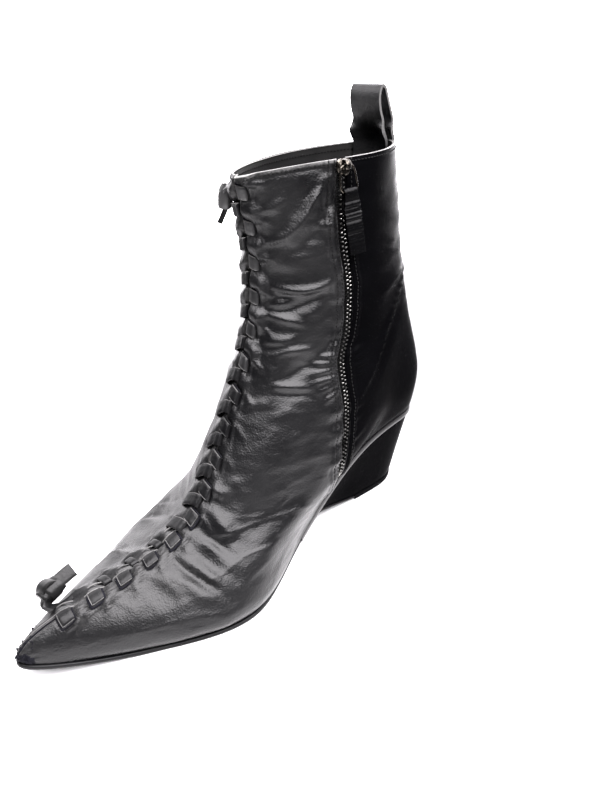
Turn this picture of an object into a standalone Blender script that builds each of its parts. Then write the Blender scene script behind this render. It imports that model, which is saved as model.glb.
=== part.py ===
# Right-foot ankle boot on a wedge heel, laced down the front with a flat strap and zipped on the inner side.
# Sizes are in millimetres until a mesh is made. +Z is up, the toe points to -X, the inner side faces -Y.
# Along the boot, "s" runs forward from the heel's back; the origin is under the middle of the top lift.
import math

import bpy
import numpy as np

# Driving sizes
LENGTH = 260.5
BALL_WIDTH = 84.0
COLLAR_HEIGHT = 202.0
HEEL_REST = 30.0
WALL = 1.6
GAP = 0.3
SEAT_GAP = 0.45
RIM_RISE = 3.8
MM = 0.001

# The last, one row for each level from the feather edge to the collar.
# Lengths along the foot are in percent of LENGTH, heights of COLLAR_HEIGHT, widths and shifts of BALL_WIDTH.
# A level is a loop from a back point to a point on the front ridge. Its half-widths, inner side then
# outer side, are read at the stations below, and "sag" is the share of the feather line's curve it keeps.
STATIONS = (0.08, 0.25, 0.45, 0.63, 0.80, 0.93)
LINE_COLUMNS = ("back", "back_shift", "back_rise", "ridge", "ridge_shift", "ridge_rise", "sag")
LINES = (
    (0.3, 0.0, 23.8, 100.0, 1.2, 5.9, 1.00),
    (0.1, 0.0, 26.0, 100.0, 0.4, 8.0, 0.85),
    (0.0, 0.0, 29.0, 93.3, -1.2, 12.3, 0.50),
    (0.3, 0.0, 36.7, 73.7, -8.3, 17.6, 0.25),
    (1.2, 0.6, 44.4, 61.2, -7.7, 29.9, 0.10),
    (3.2, 1.8, 53.7, 52.0, -2.4, 48.5, 0.00),
    (5.0, 3.6, 64.1, 46.8, -0.6, 63.3, 0.00),
    (6.5, 5.4, 79.9, 45.5, 0.6, 81.2, 0.00),
    (5.6, 7.1, 100.0, 48.2, 0.6, 97.3, 0.00),
)
WIDTH_COLUMNS = ("in1", "in2", "in3", "in4", "in5", "in6", "out1", "out2", "out3", "out4", "out5", "out6")
WIDTHS = (
    (32.4, 31.0, 36.0, 53.6, 35.1, 15.5, 31.0, 34.5, 40.5, 45.2, 33.3, 13.7),
    (33.5, 33.0, 37.9, 54.8, 38.1, 14.3, 33.3, 36.9, 42.9, 47.0, 34.5, 13.1),
    (33.9, 35.7, 40.5, 47.6, 34.5, 14.9, 34.5, 38.1, 44.0, 45.2, 30.0, 15.5),
    (33.9, 36.9, 41.7, 40.5, 29.8, 16.7, 33.3, 38.1, 42.9, 46.2, 36.3, 18.5),
    (32.1, 37.4, 42.0, 39.5, 31.1, 17.9, 30.4, 37.6, 42.5, 42.6, 35.6, 20.2),
    (29.6, 37.1, 41.5, 38.8, 30.1, 18.0, 26.9, 35.6, 40.7, 38.6, 30.0, 15.4),
    (27.1, 36.0, 40.1, 37.0, 29.3, 18.1, 20.5, 30.7, 36.1, 34.4, 27.3, 14.6),
    (24.0, 35.0, 39.9, 37.7, 29.6, 18.2, 17.7, 29.3, 34.0, 33.7, 26.9, 16.3),
    (17.9, 32.7, 38.5, 33.0, 23.5, 13.6, 13.7, 23.8, 28.2, 27.1, 21.2, 12.6),
)
# Feather line: percent of length, then height in millimetres
FEATHER = ((0, 48.0), (9.6, 51.3), (23, 43.0), (36.5, 20.9), (49.9, 6.3), (61.4, 2.7), (72.9, 2.4),
           (86.4, 3.7), (100, 11.9))
TOP_LEVEL = len(LINES) - 1
COLUMNS = LINE_COLUMNS + WIDTH_COLUMNS
SCALE = {"back": LENGTH, "ridge": LENGTH, "back_rise": COLLAR_HEIGHT, "ridge_rise": COLLAR_HEIGHT,
         "sag": 100.0}
PERCENT = np.hstack([np.array(LINES), np.array(WIDTHS)])
SIZES = PERCENT * np.array([SCALE.get(name, BALL_WIDTH) for name in COLUMNS]) / 100
COLUMN = {name: i for i, name in enumerate(COLUMNS)}
TURNS = np.concatenate([[0.0], np.arccos(1 - 2 * np.array(STATIONS)), [math.pi]])

# Sole and heel
SOLE_EDGE = 1.2
SOLE_ARCH_THICK = 1.3
FLAT_FROM = 158.0
FLAT_TO = 214.0
TOE_SPRING = 9.2
SPRING_POWER = 1.5
# Underside of the arch: distance from the heel's back, height
ARCH = ((57.0, 1.2), (75.0, 4.3), (92.0, 7.1), (108.0, 7.8), (130.0, 4.2), (148.0, 0.9), (158.0, 0.0))
# Share of the feather edge's width that the heel keeps at its foot, inner and outer side
WAIST_SHARE = {-1: 0.70, 1: 0.82}
HEEL_WAIST = 0.985
WEDGE_FRONT = 116.0
LIFT_FRONT = 57.0
LIFT_THICK = 3.0
BACK_SLANT = 8.5
INSOLE_THICK = 2.3
INSOLE_LIFT = 0.5
INSOLE_INSET = 1.2

# Zip: level and distance from the heel's back, down the inner side
ZIP_PATH = ((1.0, 90.5), (1.6, 92.6), (2.0, 93.9), (2.6, 95.0), (3.3, 94.4), (3.9, 91.6), (4.6, 89.2),
            (5.0, 89.4), (5.3, 88.2), (5.65, 84.2), (6.0, 82.4), (6.5, 82.2), (7.05, 85.2), (7.5, 85.4),
            (8.0, 84.2))
ZIP_FOOT = ZIP_PATH[0][0]
ZIP_HEAD = 7.9
SLOT_HALF = 2.6
CHAIN_HALF = 2.1
CHAIN_OUT = 0.6
CHAIN_IN = 1.4
TAPE_HALF = 8.0
TAPE_GAP = 0.9
TAPE_THICK = 0.8
SLIDER_LEVEL = 7.93
PIVOT_OUT = 3.9
PULL_LEAN = 9.0
# Edges of the slider's plate and bridge: across, down the chain and outward
SLIDER_ACROSS = (-4.2, -1.3, 1.3, 4.2)
SLIDER_DOWN = (-2.9, -1.7, 1.7, 2.9, 4.4)
SLIDER_OUT = (0.95, 2.5, 5.3, 6.3)
LINK_HALF = 5.2
LINK_SIDE = 1.2
LINK_BAR = 1.2
LINK_LENGTH = 11.5
TAB_END = 39.5
TAB_HALF = 4.4
TAB_NECK = 3.4
TAB_THICK = 1.0
TAB_LAYER = 0.65
TAB_FOLD = 1.5

# Lace: strap pieces that leave the front seam in turn to either side
LACE_FIRST = 31.0
LACE_PITCH = 15.3
LACE_PIECES = 16
# How much nearer to the toe a row lies than an even pitch would put it: number of the row, distance
LACE_DRAW = ((-1, 1.0), (0, 1.5), (3, 3.9), (5, 7.3), (7, 7.2), (10, 4.0), (13, 2.0), (15, 0.0), (16, 0.0))
LACE_REACH = 6.4
LACE_SPINE = 1.2
LACE_GAP = 0.6
LACE_THICK = 1.3
LACE_SLANT = 0.3

# Pull loop at the centre back
LOOP_WIDTH = 19.0
LOOP_SHIFT = 5.5
LOOP_THICK = 1.5
# Up the rear leg and down the front leg: distance forward of the collar's edge, height above the collar
LOOP_BENDS = ((-1.3, -7.5), (-1.3, 0.0), (0.3, 4.2), (2.6, 7.8), (5.3, 13.5), (7.4, 18.0), (10.4, 24.4),
              (11.9, 26.9), (13.6, 27.7), (15.2, 26.4), (16.1, 22.5), (15.4, 18.0), (13.7, 13.5), (9.8, 8.0),
              (6.0, 4.2), (3.9, 0.0), (3.7, -9.0))
# Above the collar the strap leaves the rim's curve and turns flat
LOOP_CURVED = 2.0
LOOP_FLAT = 13.0

# Knots: distance from the heel's back, across, height, half width and half thickness of each section
TOE_KNOT = ((242.4, 11.0, 25.3, 1.6, 1.2), (241.1, 11.8, 25.9, 4.2, 3.4), (238.5, 12.6, 26.6, 5.4, 4.6),
            (235.5, 13.4, 27.3, 5.4, 4.6), (233.1, 13.6, 28.5, 4.4, 3.2), (231.5, 13.5, 29.4, 4.2, 1.4),
            (228.0, 13.3, 30.9, 4.2, 0.9), (223.5, 13.0, 32.8, 4.2, 0.8))
TOP_KNOT = ((122.8, 9.9, 192.8, 1.4, 1.0), (122.5, 10.4, 191.4, 3.0, 2.1), (121.5, 11.5, 188.0, 3.9, 2.8),
            (120.5, 12.5, 184.6, 3.7, 2.6), (120.1, 13.2, 182.3, 2.8, 1.5), (121.1, 14.7, 178.7, 2.6, 0.9),
            (123.3, 15.6, 175.9, 2.6, 0.8))
# Directions that the strap ends turn their broad face to
TOE_FACE = (-0.64, -0.62, 0.46)
TOP_FACE = (0.69, -0.72, 0.0)


def spline(knots, rows, at):
    """Natural cubic curve through rows, one row for each knot."""
    knots = np.asarray(knots, float)
    rows = np.asarray(rows, float)
    at = np.asarray(at, float)
    step = np.diff(knots)
    slope = np.diff(rows, axis=0) / step[:, None]
    last = len(knots) - 1
    system = np.eye(last + 1)
    right = np.zeros_like(rows)
    for i in range(1, last):
        system[i, i - 1:i + 2] = (step[i - 1], 2 * (step[i - 1] + step[i]), step[i])
        right[i] = 3 * (slope[i] - slope[i - 1])
    bend = np.linalg.solve(system, right)
    i = np.clip(np.searchsorted(knots, at) - 1, 0, last - 1)
    d = (at - knots[i])[:, None]
    h = step[i][:, None]
    first = slope[i] - h * (2 * bend[i] + bend[i + 1]) / 3
    return rows[i] + d * (first + d * (bend[i] + d * (bend[i + 1] - bend[i]) / (3 * h)))


def curve(table, at):
    """Smooth curve through a two-column table."""
    table = np.asarray(table, float)
    at = np.asarray(at, float)
    return spline(table[:, 0], table[:, 1:], at.ravel()).reshape(at.shape)


def smooth(low, high, at):
    """Ease from 0 to 1 between low and high."""
    u = np.clip((np.asarray(at, float) - low) / (high - low), 0, 1)
    return u * u * (3 - 2 * u)


def unit(v):
    return v / np.linalg.norm(v, axis=-1, keepdims=True)


def feather(share):
    """Height of the feather line at a share of the length."""
    return curve(FEATHER, np.asarray(share) * 100)


def skin(level, turn, side):
    """Points of the outer surface for rows of levels and turns: inner side -1, outer side 1."""
    row = spline(np.arange(TOP_LEVEL + 1), SIZES, level)
    share = (1 - np.cos(turn)) / 2

    def column(name):
        return row[:, COLUMN[name]][:, None]

    first = COLUMN["in1"] if side < 0 else COLUMN["out1"]
    widths = np.pad(row[:, first:first + 6], ((0, 0), (1, 1)))
    basis = spline(TURNS, np.eye(8), turn.ravel()).reshape(turn.shape + (8,))
    half = np.einsum("rck,rk->rc", basis, widths)
    s = column("back") + (column("ridge") - column("back")) * share
    middle = column("back_shift") * (1 - share) + column("ridge_shift") * share
    chord = FEATHER[0][1] + (FEATHER[-1][1] - FEATHER[0][1]) * share
    z = column("back_rise") + (column("ridge_rise") - column("back_rise")) * share
    z = z + np.clip(column("sag"), 0, 1) * (feather(share) - chord)
    if side < 0:
        z = z + RIM_RISE * (np.clip((level - 6) / 2, 0, 1) ** 2)[:, None] * np.sin(turn)
    return np.stack([HEEL_REST - s, middle + side * half, z], axis=-1)


def spot(level, turn, side):
    """Single points of the surface."""
    level = np.atleast_1d(np.asarray(level, float))
    turn = np.broadcast_to(np.asarray(turn, float), level.shape)
    return skin(level, turn[:, None], side)[:, 0]


def slopes(level, turn, side):
    """Changes of the surface with level and with turn."""
    e = 0.002
    up = (spot(level + e, turn, side) - spot(level - e, turn, side)) / (2 * e)
    along = (spot(level, turn + e, side) - spot(level, turn - e, side)) / (2 * e)
    return up, along


def facing(level, turn, side):
    """Outward unit normals of the surface."""
    up, along = slopes(level, turn, side)
    return unit(np.cross(along, up) * side)


def turn_at(level, s):
    """Turn of the point at distance s on a level."""
    row = spline(np.arange(TOP_LEVEL + 1), SIZES, level)
    back = row[:, COLUMN["back"]]
    ridge = row[:, COLUMN["ridge"]]
    return np.arccos(np.clip(1 - 2 * (s - back) / (ridge - back), -1, 1))


def zip_turn(level):
    return turn_at(level, curve(ZIP_PATH, level))


def make(name, verts, faces, material, pivot=None):
    """One closed object from points in millimetres."""
    verts = np.asarray(verts, float) * MM
    origin = np.zeros(3) if pivot is None else np.asarray(pivot, float) * MM
    mesh = bpy.data.meshes.new(name)
    mesh.from_pydata([tuple(v) for v in verts - origin], [], faces)
    mesh.validate()
    mesh.materials.append(material)
    mesh.update()
    piece = bpy.data.objects.new(name, mesh)
    piece.location = origin
    boot.objects.link(piece)
    return piece


def slab(outer, inner, mask, round_trip):
    """Solid between two grids of points, where the mask of cells is true."""
    rows, cols = outer.shape[:2]
    count = rows * cols
    faces = []

    def there(j, i):
        if round_trip:
            i = i % cols
        return 0 <= j < mask.shape[0] and 0 <= i < mask.shape[1] and mask[j, i]

    for j in range(mask.shape[0]):
        for i in range(mask.shape[1]):
            if not mask[j, i]:
                continue
            k = (i + 1) % cols
            a, b, c, d = j * cols + i, j * cols + k, (j + 1) * cols + k, (j + 1) * cols + i
            faces.append((a, d, c, b))
            faces.append((a + count, b + count, c + count, d + count))
            for p, q, free in ((a, d, not there(j, i - 1)), (d, c, not there(j + 1, i)),
                               (c, b, not there(j, i + 1)), (b, a, not there(j - 1, i))):
                if free:
                    faces.append((q, p, p + count, q + count))
    verts = np.concatenate([outer.reshape(-1, 3), inner.reshape(-1, 3)])
    used = sorted({v for f in faces for v in f})
    new = {v: n for n, v in enumerate(used)}
    return verts[used], [tuple(new[v] for v in f) for f in faces]


def loft(sections, ring=False):
    """Solid through closed sections with the same number of points."""
    sections = np.asarray(sections, float)
    count, size = sections.shape[:2]
    faces = []
    for n in range(count if ring else count - 1):
        m = (n + 1) % count
        for k in range(size):
            h = (k + 1) % size
            faces.append((n * size + k, n * size + h, m * size + h, m * size + k))
    if not ring:
        faces.append(tuple(reversed(range(size))))
        faces.append(tuple(range((count - 1) * size, count * size)))
    verts = sections.reshape(-1, 3)
    volume = 0.0
    for face in faces:
        for i in range(1, len(face) - 1):
            volume += np.dot(verts[face[0]], np.cross(verts[face[i]], verts[face[i + 1]]))
    if volume < 0:
        faces = [tuple(reversed(f)) for f in faces]
    return verts, faces


def blocks(edges, filled, place):
    """Solid made of the filled cells of a box grid; place turns grid points into positions."""
    sizes = [len(e) for e in edges]
    corners = ((0, 1, 2), (1, 2, 0), (2, 0, 1))
    index = {}
    verts = []
    faces = []

    def vertex(n):
        if n not in index:
            index[n] = len(verts)
            verts.append(place(edges[0][n[0]], edges[1][n[1]], edges[2][n[2]]))
        return index[n]

    for cell in sorted(filled):
        for axis, u, v in corners:
            for step in (0, 1):
                beside = list(cell)
                beside[axis] += 2 * step - 1
                if tuple(beside) in filled:
                    continue
                ring = []
                for du, dv in ((0, 0), (1, 0), (1, 1), (0, 1)):
                    n = list(cell)
                    n[axis] += step
                    n[u] += du
                    n[v] += dv
                    ring.append(vertex(tuple(n)))
                faces.append(tuple(ring if step else reversed(ring)))
    assert all(0 <= c[k] < sizes[k] - 1 for c in filled for k in range(3))
    return np.array(verts), faces


def ribbon(path, across, half, normal, thick):
    """Sections of a flat strap along a path."""
    path = np.asarray(path, float)
    half = np.asarray(half, float)[:, None]
    side = across * half
    lift = normal * thick / 2
    return np.stack([path - side - lift, path + side - lift, path + side + lift, path - side + lift], axis=1)


def leather(name, colour, rough, metal=0.0):
    material = bpy.data.materials.new(name)
    material.use_nodes = True
    shader = material.node_tree.nodes["Principled BSDF"]
    shader.inputs["Base Color"].default_value = (*colour, 1.0)
    shader.inputs["Roughness"].default_value = rough
    shader.inputs["Metallic"].default_value = metal
    return material


def upper():
    """Hollow shell over the last, with the slit for the zip."""
    below = np.linspace(0, ZIP_FOOT, 4)
    above = np.linspace(ZIP_FOOT, TOP_LEVEL, 22)
    foot = len(below) - 1
    level = np.concatenate([below, above[1:]])
    back_cells = 10
    front_cells = 11
    outer_cells = 21
    middle = zip_turn(level)
    spread = SLOT_HALF / np.linalg.norm(slopes(level, middle, -1)[1], axis=-1)
    back = np.linspace(0, 1, back_cells + 1)[None] * (middle - spread)[:, None]
    front = (middle + spread)[:, None]
    front = front + (math.pi - front) * np.linspace(0, 1, front_cells + 1)[None]
    turn = np.linspace(math.pi, 0, outer_cells + 1)[None, 1:-1] * np.ones((len(level), 1))
    skin_in = skin(level, np.concatenate([back, front], axis=1), -1)
    points = np.concatenate([skin_in, skin(level, turn, 1)], axis=1)
    around = np.roll(points, -1, axis=1) - np.roll(points, 1, axis=1)
    outward = unit(np.cross(np.gradient(points, axis=0), around))
    inside = points - WALL * outward
    inside[0, :, 2] = np.maximum(inside[0, :, 2], points[0, :, 2])
    mask = np.ones((len(level) - 1, points.shape[1]), bool)
    mask[foot:, back_cells] = False
    return slab(points, inside, mask, True)


def plan_edge(turn, side, extra):
    """Feather edge moved outward in plan by extra, at each turn."""
    level = np.zeros_like(turn)
    e = 0.004
    point = spot(level, turn, side)
    run = unit((spot(level, turn + e, side) - spot(level, turn - e, side))[:, :2])
    out = np.stack([run[:, 1], -run[:, 0]], axis=-1) * side
    point[:, :2] += out * np.asarray(extra)[..., None]
    return point


def run_of(turn):
    """Distance from the heel's back along the feather edge."""
    return HEEL_REST - spot(np.zeros_like(turn), turn, 1)[:, 0]


def feather_turn(s):
    return float(turn_at(np.zeros(1), np.array([s]))[0])


def plate(inner, outer, top, bottom):
    """Sections across a plate between two edges and two heights."""
    def at(edge, z):
        return np.column_stack([edge[:, :2], z])

    return np.stack([at(inner, top), at(outer, top), at(outer, bottom), at(inner, bottom)], axis=1)


def narrowed(turn, side):
    """Edge of the sole: inside the feather edge under the wedge, a little outside it at the forefoot."""
    s = run_of(turn)
    edge = plan_edge(turn, side, SOLE_EDGE * smooth(140, 172, s))
    keep = WAIST_SHARE[side]
    edge[:, 1] *= keep + (1 - keep) * smooth(84, 120, s)
    return edge


def sole_bottom(s):
    spring = TOE_SPRING * np.clip((s - FLAT_TO) / (LENGTH - FLAT_TO), 0, 1) ** SPRING_POWER
    arch = np.clip(curve(ARCH, np.clip(s, LIFT_FRONT, FLAT_FROM)), 0, None)
    return np.where(s >= FLAT_FROM, spring, arch)


def outsole():
    """Thin sole with toe spring, flat forefoot and low arch under the wedge's front."""
    stops = [LIFT_FRONT + 2 * GAP, 66, 75, 84, 92, 100, 108, WEDGE_FRONT + 0.2, WEDGE_FRONT + 2 * GAP]
    stops += [123, 130, 139, 148, FLAT_FROM, 168, 178, 190, 202, FLAT_TO]
    stops += [222, 230, 237, 243, 248, 252, 255.5, 258]
    turn = np.array([feather_turn(s) for s in stops] + [math.pi - 0.12, math.pi - 0.06])
    s = run_of(turn)
    top = feather((1 - np.cos(turn)) / 2) - GAP
    bottom = sole_bottom(s)
    top = np.where(s > WEDGE_FRONT + 0.4, top, bottom + SOLE_ARCH_THICK)
    return loft(plate(narrowed(turn, -1), narrowed(turn, 1), top, bottom))


def insole():
    """Board inside the upper, over the sole and the wedge."""
    turn = np.linspace(0.16, feather_turn(242), 34)
    low = feather((1 - np.cos(turn)) / 2) + INSOLE_LIFT
    inner = plan_edge(turn, -1, -WALL - INSOLE_INSET)
    outer = plan_edge(turn, 1, -WALL - INSOLE_INSET)
    return loft(plate(inner, outer, low + INSOLE_THICK, low))


def heel_edge(turn, side):
    """Bottom edge of the wedge, narrower than the feather edge and slanted in at the back."""
    s = run_of(turn)
    edge = narrowed(turn, side)
    edge[:, 0] -= BACK_SLANT * (1 - smooth(0, LIFT_FRONT, s))
    return edge


def wedge():
    """Covered wedge between the seat and the top lift, running forward to the waist."""
    turn = np.linspace(0.03, feather_turn(WEDGE_FRONT), 38)
    top_z = feather((1 - np.cos(turn)) / 2) - SEAT_GAP
    foot = heel_edge(turn, -1)
    s = HEEL_REST - foot[:, 0]
    low_z = np.where(s > LIFT_FRONT, sole_bottom(s) + SOLE_ARCH_THICK, LIFT_THICK) + GAP
    rows = []
    for side in (-1, 1):
        top = plan_edge(turn, side, 0.0)
        top[:, 2] = top_z
        bottom = heel_edge(turn, side)
        bottom[:, 2] = low_z
        waist = (top + bottom) / 2
        waist[:, 1] *= HEEL_WAIST
        rows.append((top, waist, bottom))
    inner, outer = rows
    return loft(np.stack([*inner, *reversed(outer)], axis=1))


def top_lift():
    """Wearing piece under the wedge, flat on the floor."""
    turn = np.linspace(0.03, feather_turn(LIFT_FRONT), 22)
    inner = heel_edge(turn, -1)
    outer = heel_edge(turn, 1)
    high = np.full(len(turn), LIFT_THICK)
    return loft(plate(inner, outer, high, np.zeros(len(turn))))


def pull_loop():
    """Strap folded over the collar's back edge, leaning forward above it with a gap for a finger."""
    last = len(LOOP_BENDS) - 1
    bends = spline(np.arange(last + 1), LOOP_BENDS, np.linspace(0, last, 2 * last + 1))
    turn = np.linspace(0, 1.2, 40)
    top = np.full(len(turn), float(TOP_LEVEL))
    rim = np.concatenate([spot(top, turn, -1)[::-1], spot(top, turn, 1)[1:]])
    across = LOOP_SHIFT + LOOP_WIDTH * np.linspace(-0.5, 0.5, 5)
    edge = HEEL_REST - np.interp(across, rim[:, 1], rim[:, 0])
    middle = edge[2]
    oblique = np.sqrt(1 + np.gradient(edge, across) ** 2)
    run = unit(np.gradient(bends, axis=0))
    grids = []
    for lift in (LOOP_THICK / 2, -LOOP_THICK / 2):
        forward = bends[:, 0] - lift * run[:, 1]
        height = bends[:, 1] + lift * run[:, 0]
        flat = smooth(LOOP_CURVED, LOOP_FLAT, height)[:, None]
        s = flat * (middle + forward[:, None]) + (1 - flat) * (edge + forward[:, None] * oblique)
        y = np.broadcast_to(across, s.shape)
        z = np.broadcast_to(COLLAR_HEIGHT + height[:, None], s.shape)
        grids.append(np.stack([HEEL_REST - s, y, z], axis=-1))
    return slab(grids[1], grids[0], np.ones((len(bends) - 1, 4), bool), False)


def zip_grid(level, offsets, depth):
    """Points across the zip at a depth under the surface."""
    middle = zip_turn(level)
    rate = np.linalg.norm(slopes(level, middle, -1)[1], axis=-1)
    grid = []
    for offset in offsets:
        turn = middle + offset / rate
        grid.append(spot(level, turn, -1) - depth * facing(level, turn, -1))
    return np.stack(grid, axis=1)


def zip_tape():
    level = np.linspace(ZIP_FOOT + 0.25, ZIP_HEAD, 24)
    offsets = np.linspace(-TAPE_HALF, TAPE_HALF, 5)
    near = zip_grid(level, offsets, WALL + TAPE_GAP)
    far = zip_grid(level, offsets, WALL + TAPE_GAP + TAPE_THICK)
    return slab(near, far, np.ones((len(level) - 1, 4), bool), False)


def zip_chain():
    level = np.linspace(ZIP_FOOT + 0.1, ZIP_HEAD, 30)
    offsets = (-CHAIN_HALF, CHAIN_HALF)
    out = zip_grid(level, offsets, -CHAIN_OUT)
    deep = zip_grid(level, offsets, CHAIN_IN)
    return loft(np.stack([out[:, 0], out[:, 1], deep[:, 1], deep[:, 0]], axis=1))


def slider_frame():
    """Place on the chain for the slider: a point, and unit directions forward, down and outward."""
    level = np.array([SLIDER_LEVEL])
    middle = zip_turn(level)
    point = spot(level, middle, -1)[0]
    out = facing(level, middle, -1)[0]
    e = 0.05
    below = spot(level - e, zip_turn(level - e), -1)[0]
    above = spot(level + e, zip_turn(level + e), -1)[0]
    down = unit(below - above)
    down = unit(down - out * np.dot(down, out))
    return point, np.cross(down, out), down, out


def pull_frame():
    """Place of the puller: the middle of its bar, and directions along the bar, down and outward."""
    point, fore, down, out = slider_frame()
    lean = math.radians(PULL_LEAN)
    bar = math.cos(lean) * fore + math.sin(lean) * down
    return point + PIVOT_OUT * out, bar, math.cos(lean) * down - math.sin(lean) * fore, out


def zip_slider():
    """Slider plate with a bridge over the puller's bar."""
    point, fore, down, out = slider_frame()
    filled = {(i, j, 0) for i in range(3) for j in range(4)}
    filled |= {(1, 0, 1), (1, 2, 1), (1, 0, 2), (1, 1, 2), (1, 2, 2)}

    def place(b, t, n):
        return point + b * fore + t * down + n * out

    return blocks((SLIDER_ACROSS, SLIDER_DOWN, SLIDER_OUT), filled, place)


def zip_link():
    """Flat metal ring whose upper bar turns in the slider's bridge."""
    pivot, fore, down, out = pull_frame()
    bar = LINK_BAR / 2
    window = LINK_HALF - LINK_SIDE
    across = (-LINK_HALF, -window, window, LINK_HALF)
    along = (-bar, bar, LINK_LENGTH - bar, LINK_LENGTH + bar)
    filled = {(i, j, 0) for i in range(3) for j in range(3)} - {(1, 1, 0)}

    def place(b, t, n):
        return pivot + b * fore + t * down + n * out

    return blocks((across, along, (-bar, bar)), filled, place)


def zip_tab():
    """Leather strap folded over the link's lower bar, gathered there and wider below."""
    pivot, fore, down, out = pull_frame()
    leg = [(t, TAB_LAYER) for t in np.linspace(TAB_END, LINK_LENGTH + 5.5, 5)]
    leg += [(LINK_LENGTH + 2.6, (TAB_LAYER + TAB_FOLD) / 2)]
    turn = np.linspace(0, math.pi, 9)
    arc = [(LINK_LENGTH - TAB_FOLD * math.sin(a), TAB_FOLD * math.cos(a)) for a in turn]
    path = np.array(leg + arc + [(t, -n) for t, n in reversed(leg)])
    half = TAB_NECK + (TAB_HALF - TAB_NECK) * smooth(LINK_LENGTH + 1, LINK_LENGTH + 9, path[:, 0])
    points = pivot + path[:, :1] * down + path[:, 1:] * out
    run = unit(np.gradient(points, axis=0))
    return loft(ribbon(points, fore, half, np.cross(run, fore), TAB_THICK))


def ridge_table():
    """Levels down the front ridge with the distance from the toe's feather edge."""
    level = np.linspace(0, TOP_LEVEL, 321)
    points = spot(level, math.pi, 1)
    reach = np.concatenate([[0.0], np.cumsum(np.linalg.norm(np.diff(points, axis=0), axis=1))])
    return level, reach


def walk(reach, distance):
    """Points and normals at a distance from the front seam along the surface, square to the seam."""
    side = -1 if distance < 0 else 1
    table_level, table_reach = ridge_table()
    level = np.interp(reach, table_reach, table_level)
    turn = np.full(len(level), math.pi)
    up, _ = slopes(level, turn, side)
    run = unit(up)
    steps = max(1, int(math.ceil(abs(distance))))
    for _ in range(steps):
        point = spot(level, turn, side)
        up, along = slopes(level, turn, side)
        out = unit(np.cross(along, up) * side)
        ahead = unit(np.cross(out, run)) * side
        target = ahead * abs(distance) / steps
        frame = np.stack([up, along], axis=-1)
        move = np.einsum("nij,nj->ni", np.linalg.pinv(frame), target)
        level = level + move[:, 0]
        turn = turn + move[:, 1]
    return spot(level, turn, side), facing(level, turn, side)


def lace():
    """Herringbone of strap pieces joined along the seam; the knots' rows have an inner piece only."""
    cells = 2 * LACE_PIECES
    row = (np.arange(2 * cells + 1) - 1) / 4
    reach = LACE_FIRST + LACE_PITCH * row - curve(LACE_DRAW, row)
    offsets = (-LACE_REACH, -0.55 * LACE_REACH, -LACE_SPINE, LACE_SPINE, 0.55 * LACE_REACH, LACE_REACH)
    low = []
    high = []
    for offset in offsets:
        point, out = walk(reach - LACE_SLANT * abs(offset), offset)
        low.append(point + LACE_GAP * out)
        high.append(point + (LACE_GAP + LACE_THICK) * out)
    mask = np.zeros((2 * cells, 5), bool)
    mask[:, 2] = True
    for n in range(cells):
        first = 2 * n
        if n % 2 == 0:
            mask[first:first + 2, 0:2] = True
        elif 1 < n < cells - 1:
            mask[first:first + 2, 3:5] = True
    mask[-2:] = False
    return slab(np.stack(high, axis=1), np.stack(low, axis=1), mask, False)


def knot(rows, face, sides=10):
    """Knot and strap end as one lofted body: a row for each section, with its place and half sizes."""
    rows = np.array(rows, float)
    path = np.column_stack([HEEL_REST - rows[:, 0], rows[:, 1], rows[:, 2]])
    run = unit(np.gradient(path, axis=0))
    flat = unit(np.cross(run, np.array(face)))
    thin = np.cross(run, flat)
    angle = np.linspace(0, 2 * math.pi, sides, endpoint=False)
    sections = []
    for p, f, h, w, t in zip(path, flat, thin, rows[:, 3], rows[:, 4]):
        sections.append(p + np.cos(angle)[:, None] * f * w + np.sin(angle)[:, None] * h * t)
    return loft(sections)


for old in list(bpy.data.objects):
    bpy.data.objects.remove(old, do_unlink=True)
boot = bpy.data.collections.new("wedge_boot")
bpy.context.scene.collection.children.link(boot)

BLACK = (0.018, 0.018, 0.02)
WORN = (0.03, 0.03, 0.032)
DARK_METAL = (0.12, 0.12, 0.125)
SILVER = (0.45, 0.44, 0.42)
RUBBER = (0.012, 0.012, 0.012)

pivot_at = pull_frame()[0]

make("upper", *upper(), leather("upper_leather", BLACK, 0.35))
make("insole", *insole(), leather("insole_board", WORN, 0.7))
make("outsole", *outsole(), leather("outsole_leather", RUBBER, 0.6))
make("wedge", *wedge(), leather("wedge_leather", BLACK, 0.35))
make("top_lift", *top_lift(), leather("lift_rubber", RUBBER, 0.7))
make("pull_loop", *pull_loop(), leather("loop_leather", BLACK, 0.4))
make("zip_tape", *zip_tape(), leather("tape_fabric", WORN, 0.8))
make("zip_chain", *zip_chain(), leather("chain_metal", DARK_METAL, 0.35, 1.0))
make("zip_slider", *zip_slider(), leather("slider_metal", SILVER, 0.35, 1.0))
make("zip_link", *zip_link(), leather("link_metal", SILVER, 0.3, 1.0), pivot_at)
make("zip_tab", *zip_tab(), leather("tab_leather", BLACK, 0.45), pivot_at)
make("lace", *lace(), leather("lace_leather", BLACK, 0.4))
make("toe_knot", *knot(TOE_KNOT, TOE_FACE), leather("toe_knot_leather", BLACK, 0.4))
make("top_knot", *knot(TOP_KNOT, TOP_FACE), leather("top_knot_leather", BLACK, 0.4))
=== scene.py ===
# Looks of the right-foot wedge ankle boot: creased leather, strap lacing, zip, loop, wedge and sole.
# Sizes are in millimetres until a mesh is made. "s" runs forward from the heel's back; the toe points to -X.
import math

import bpy
import numpy as np
from mathutils import Matrix, Vector, noise


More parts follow.
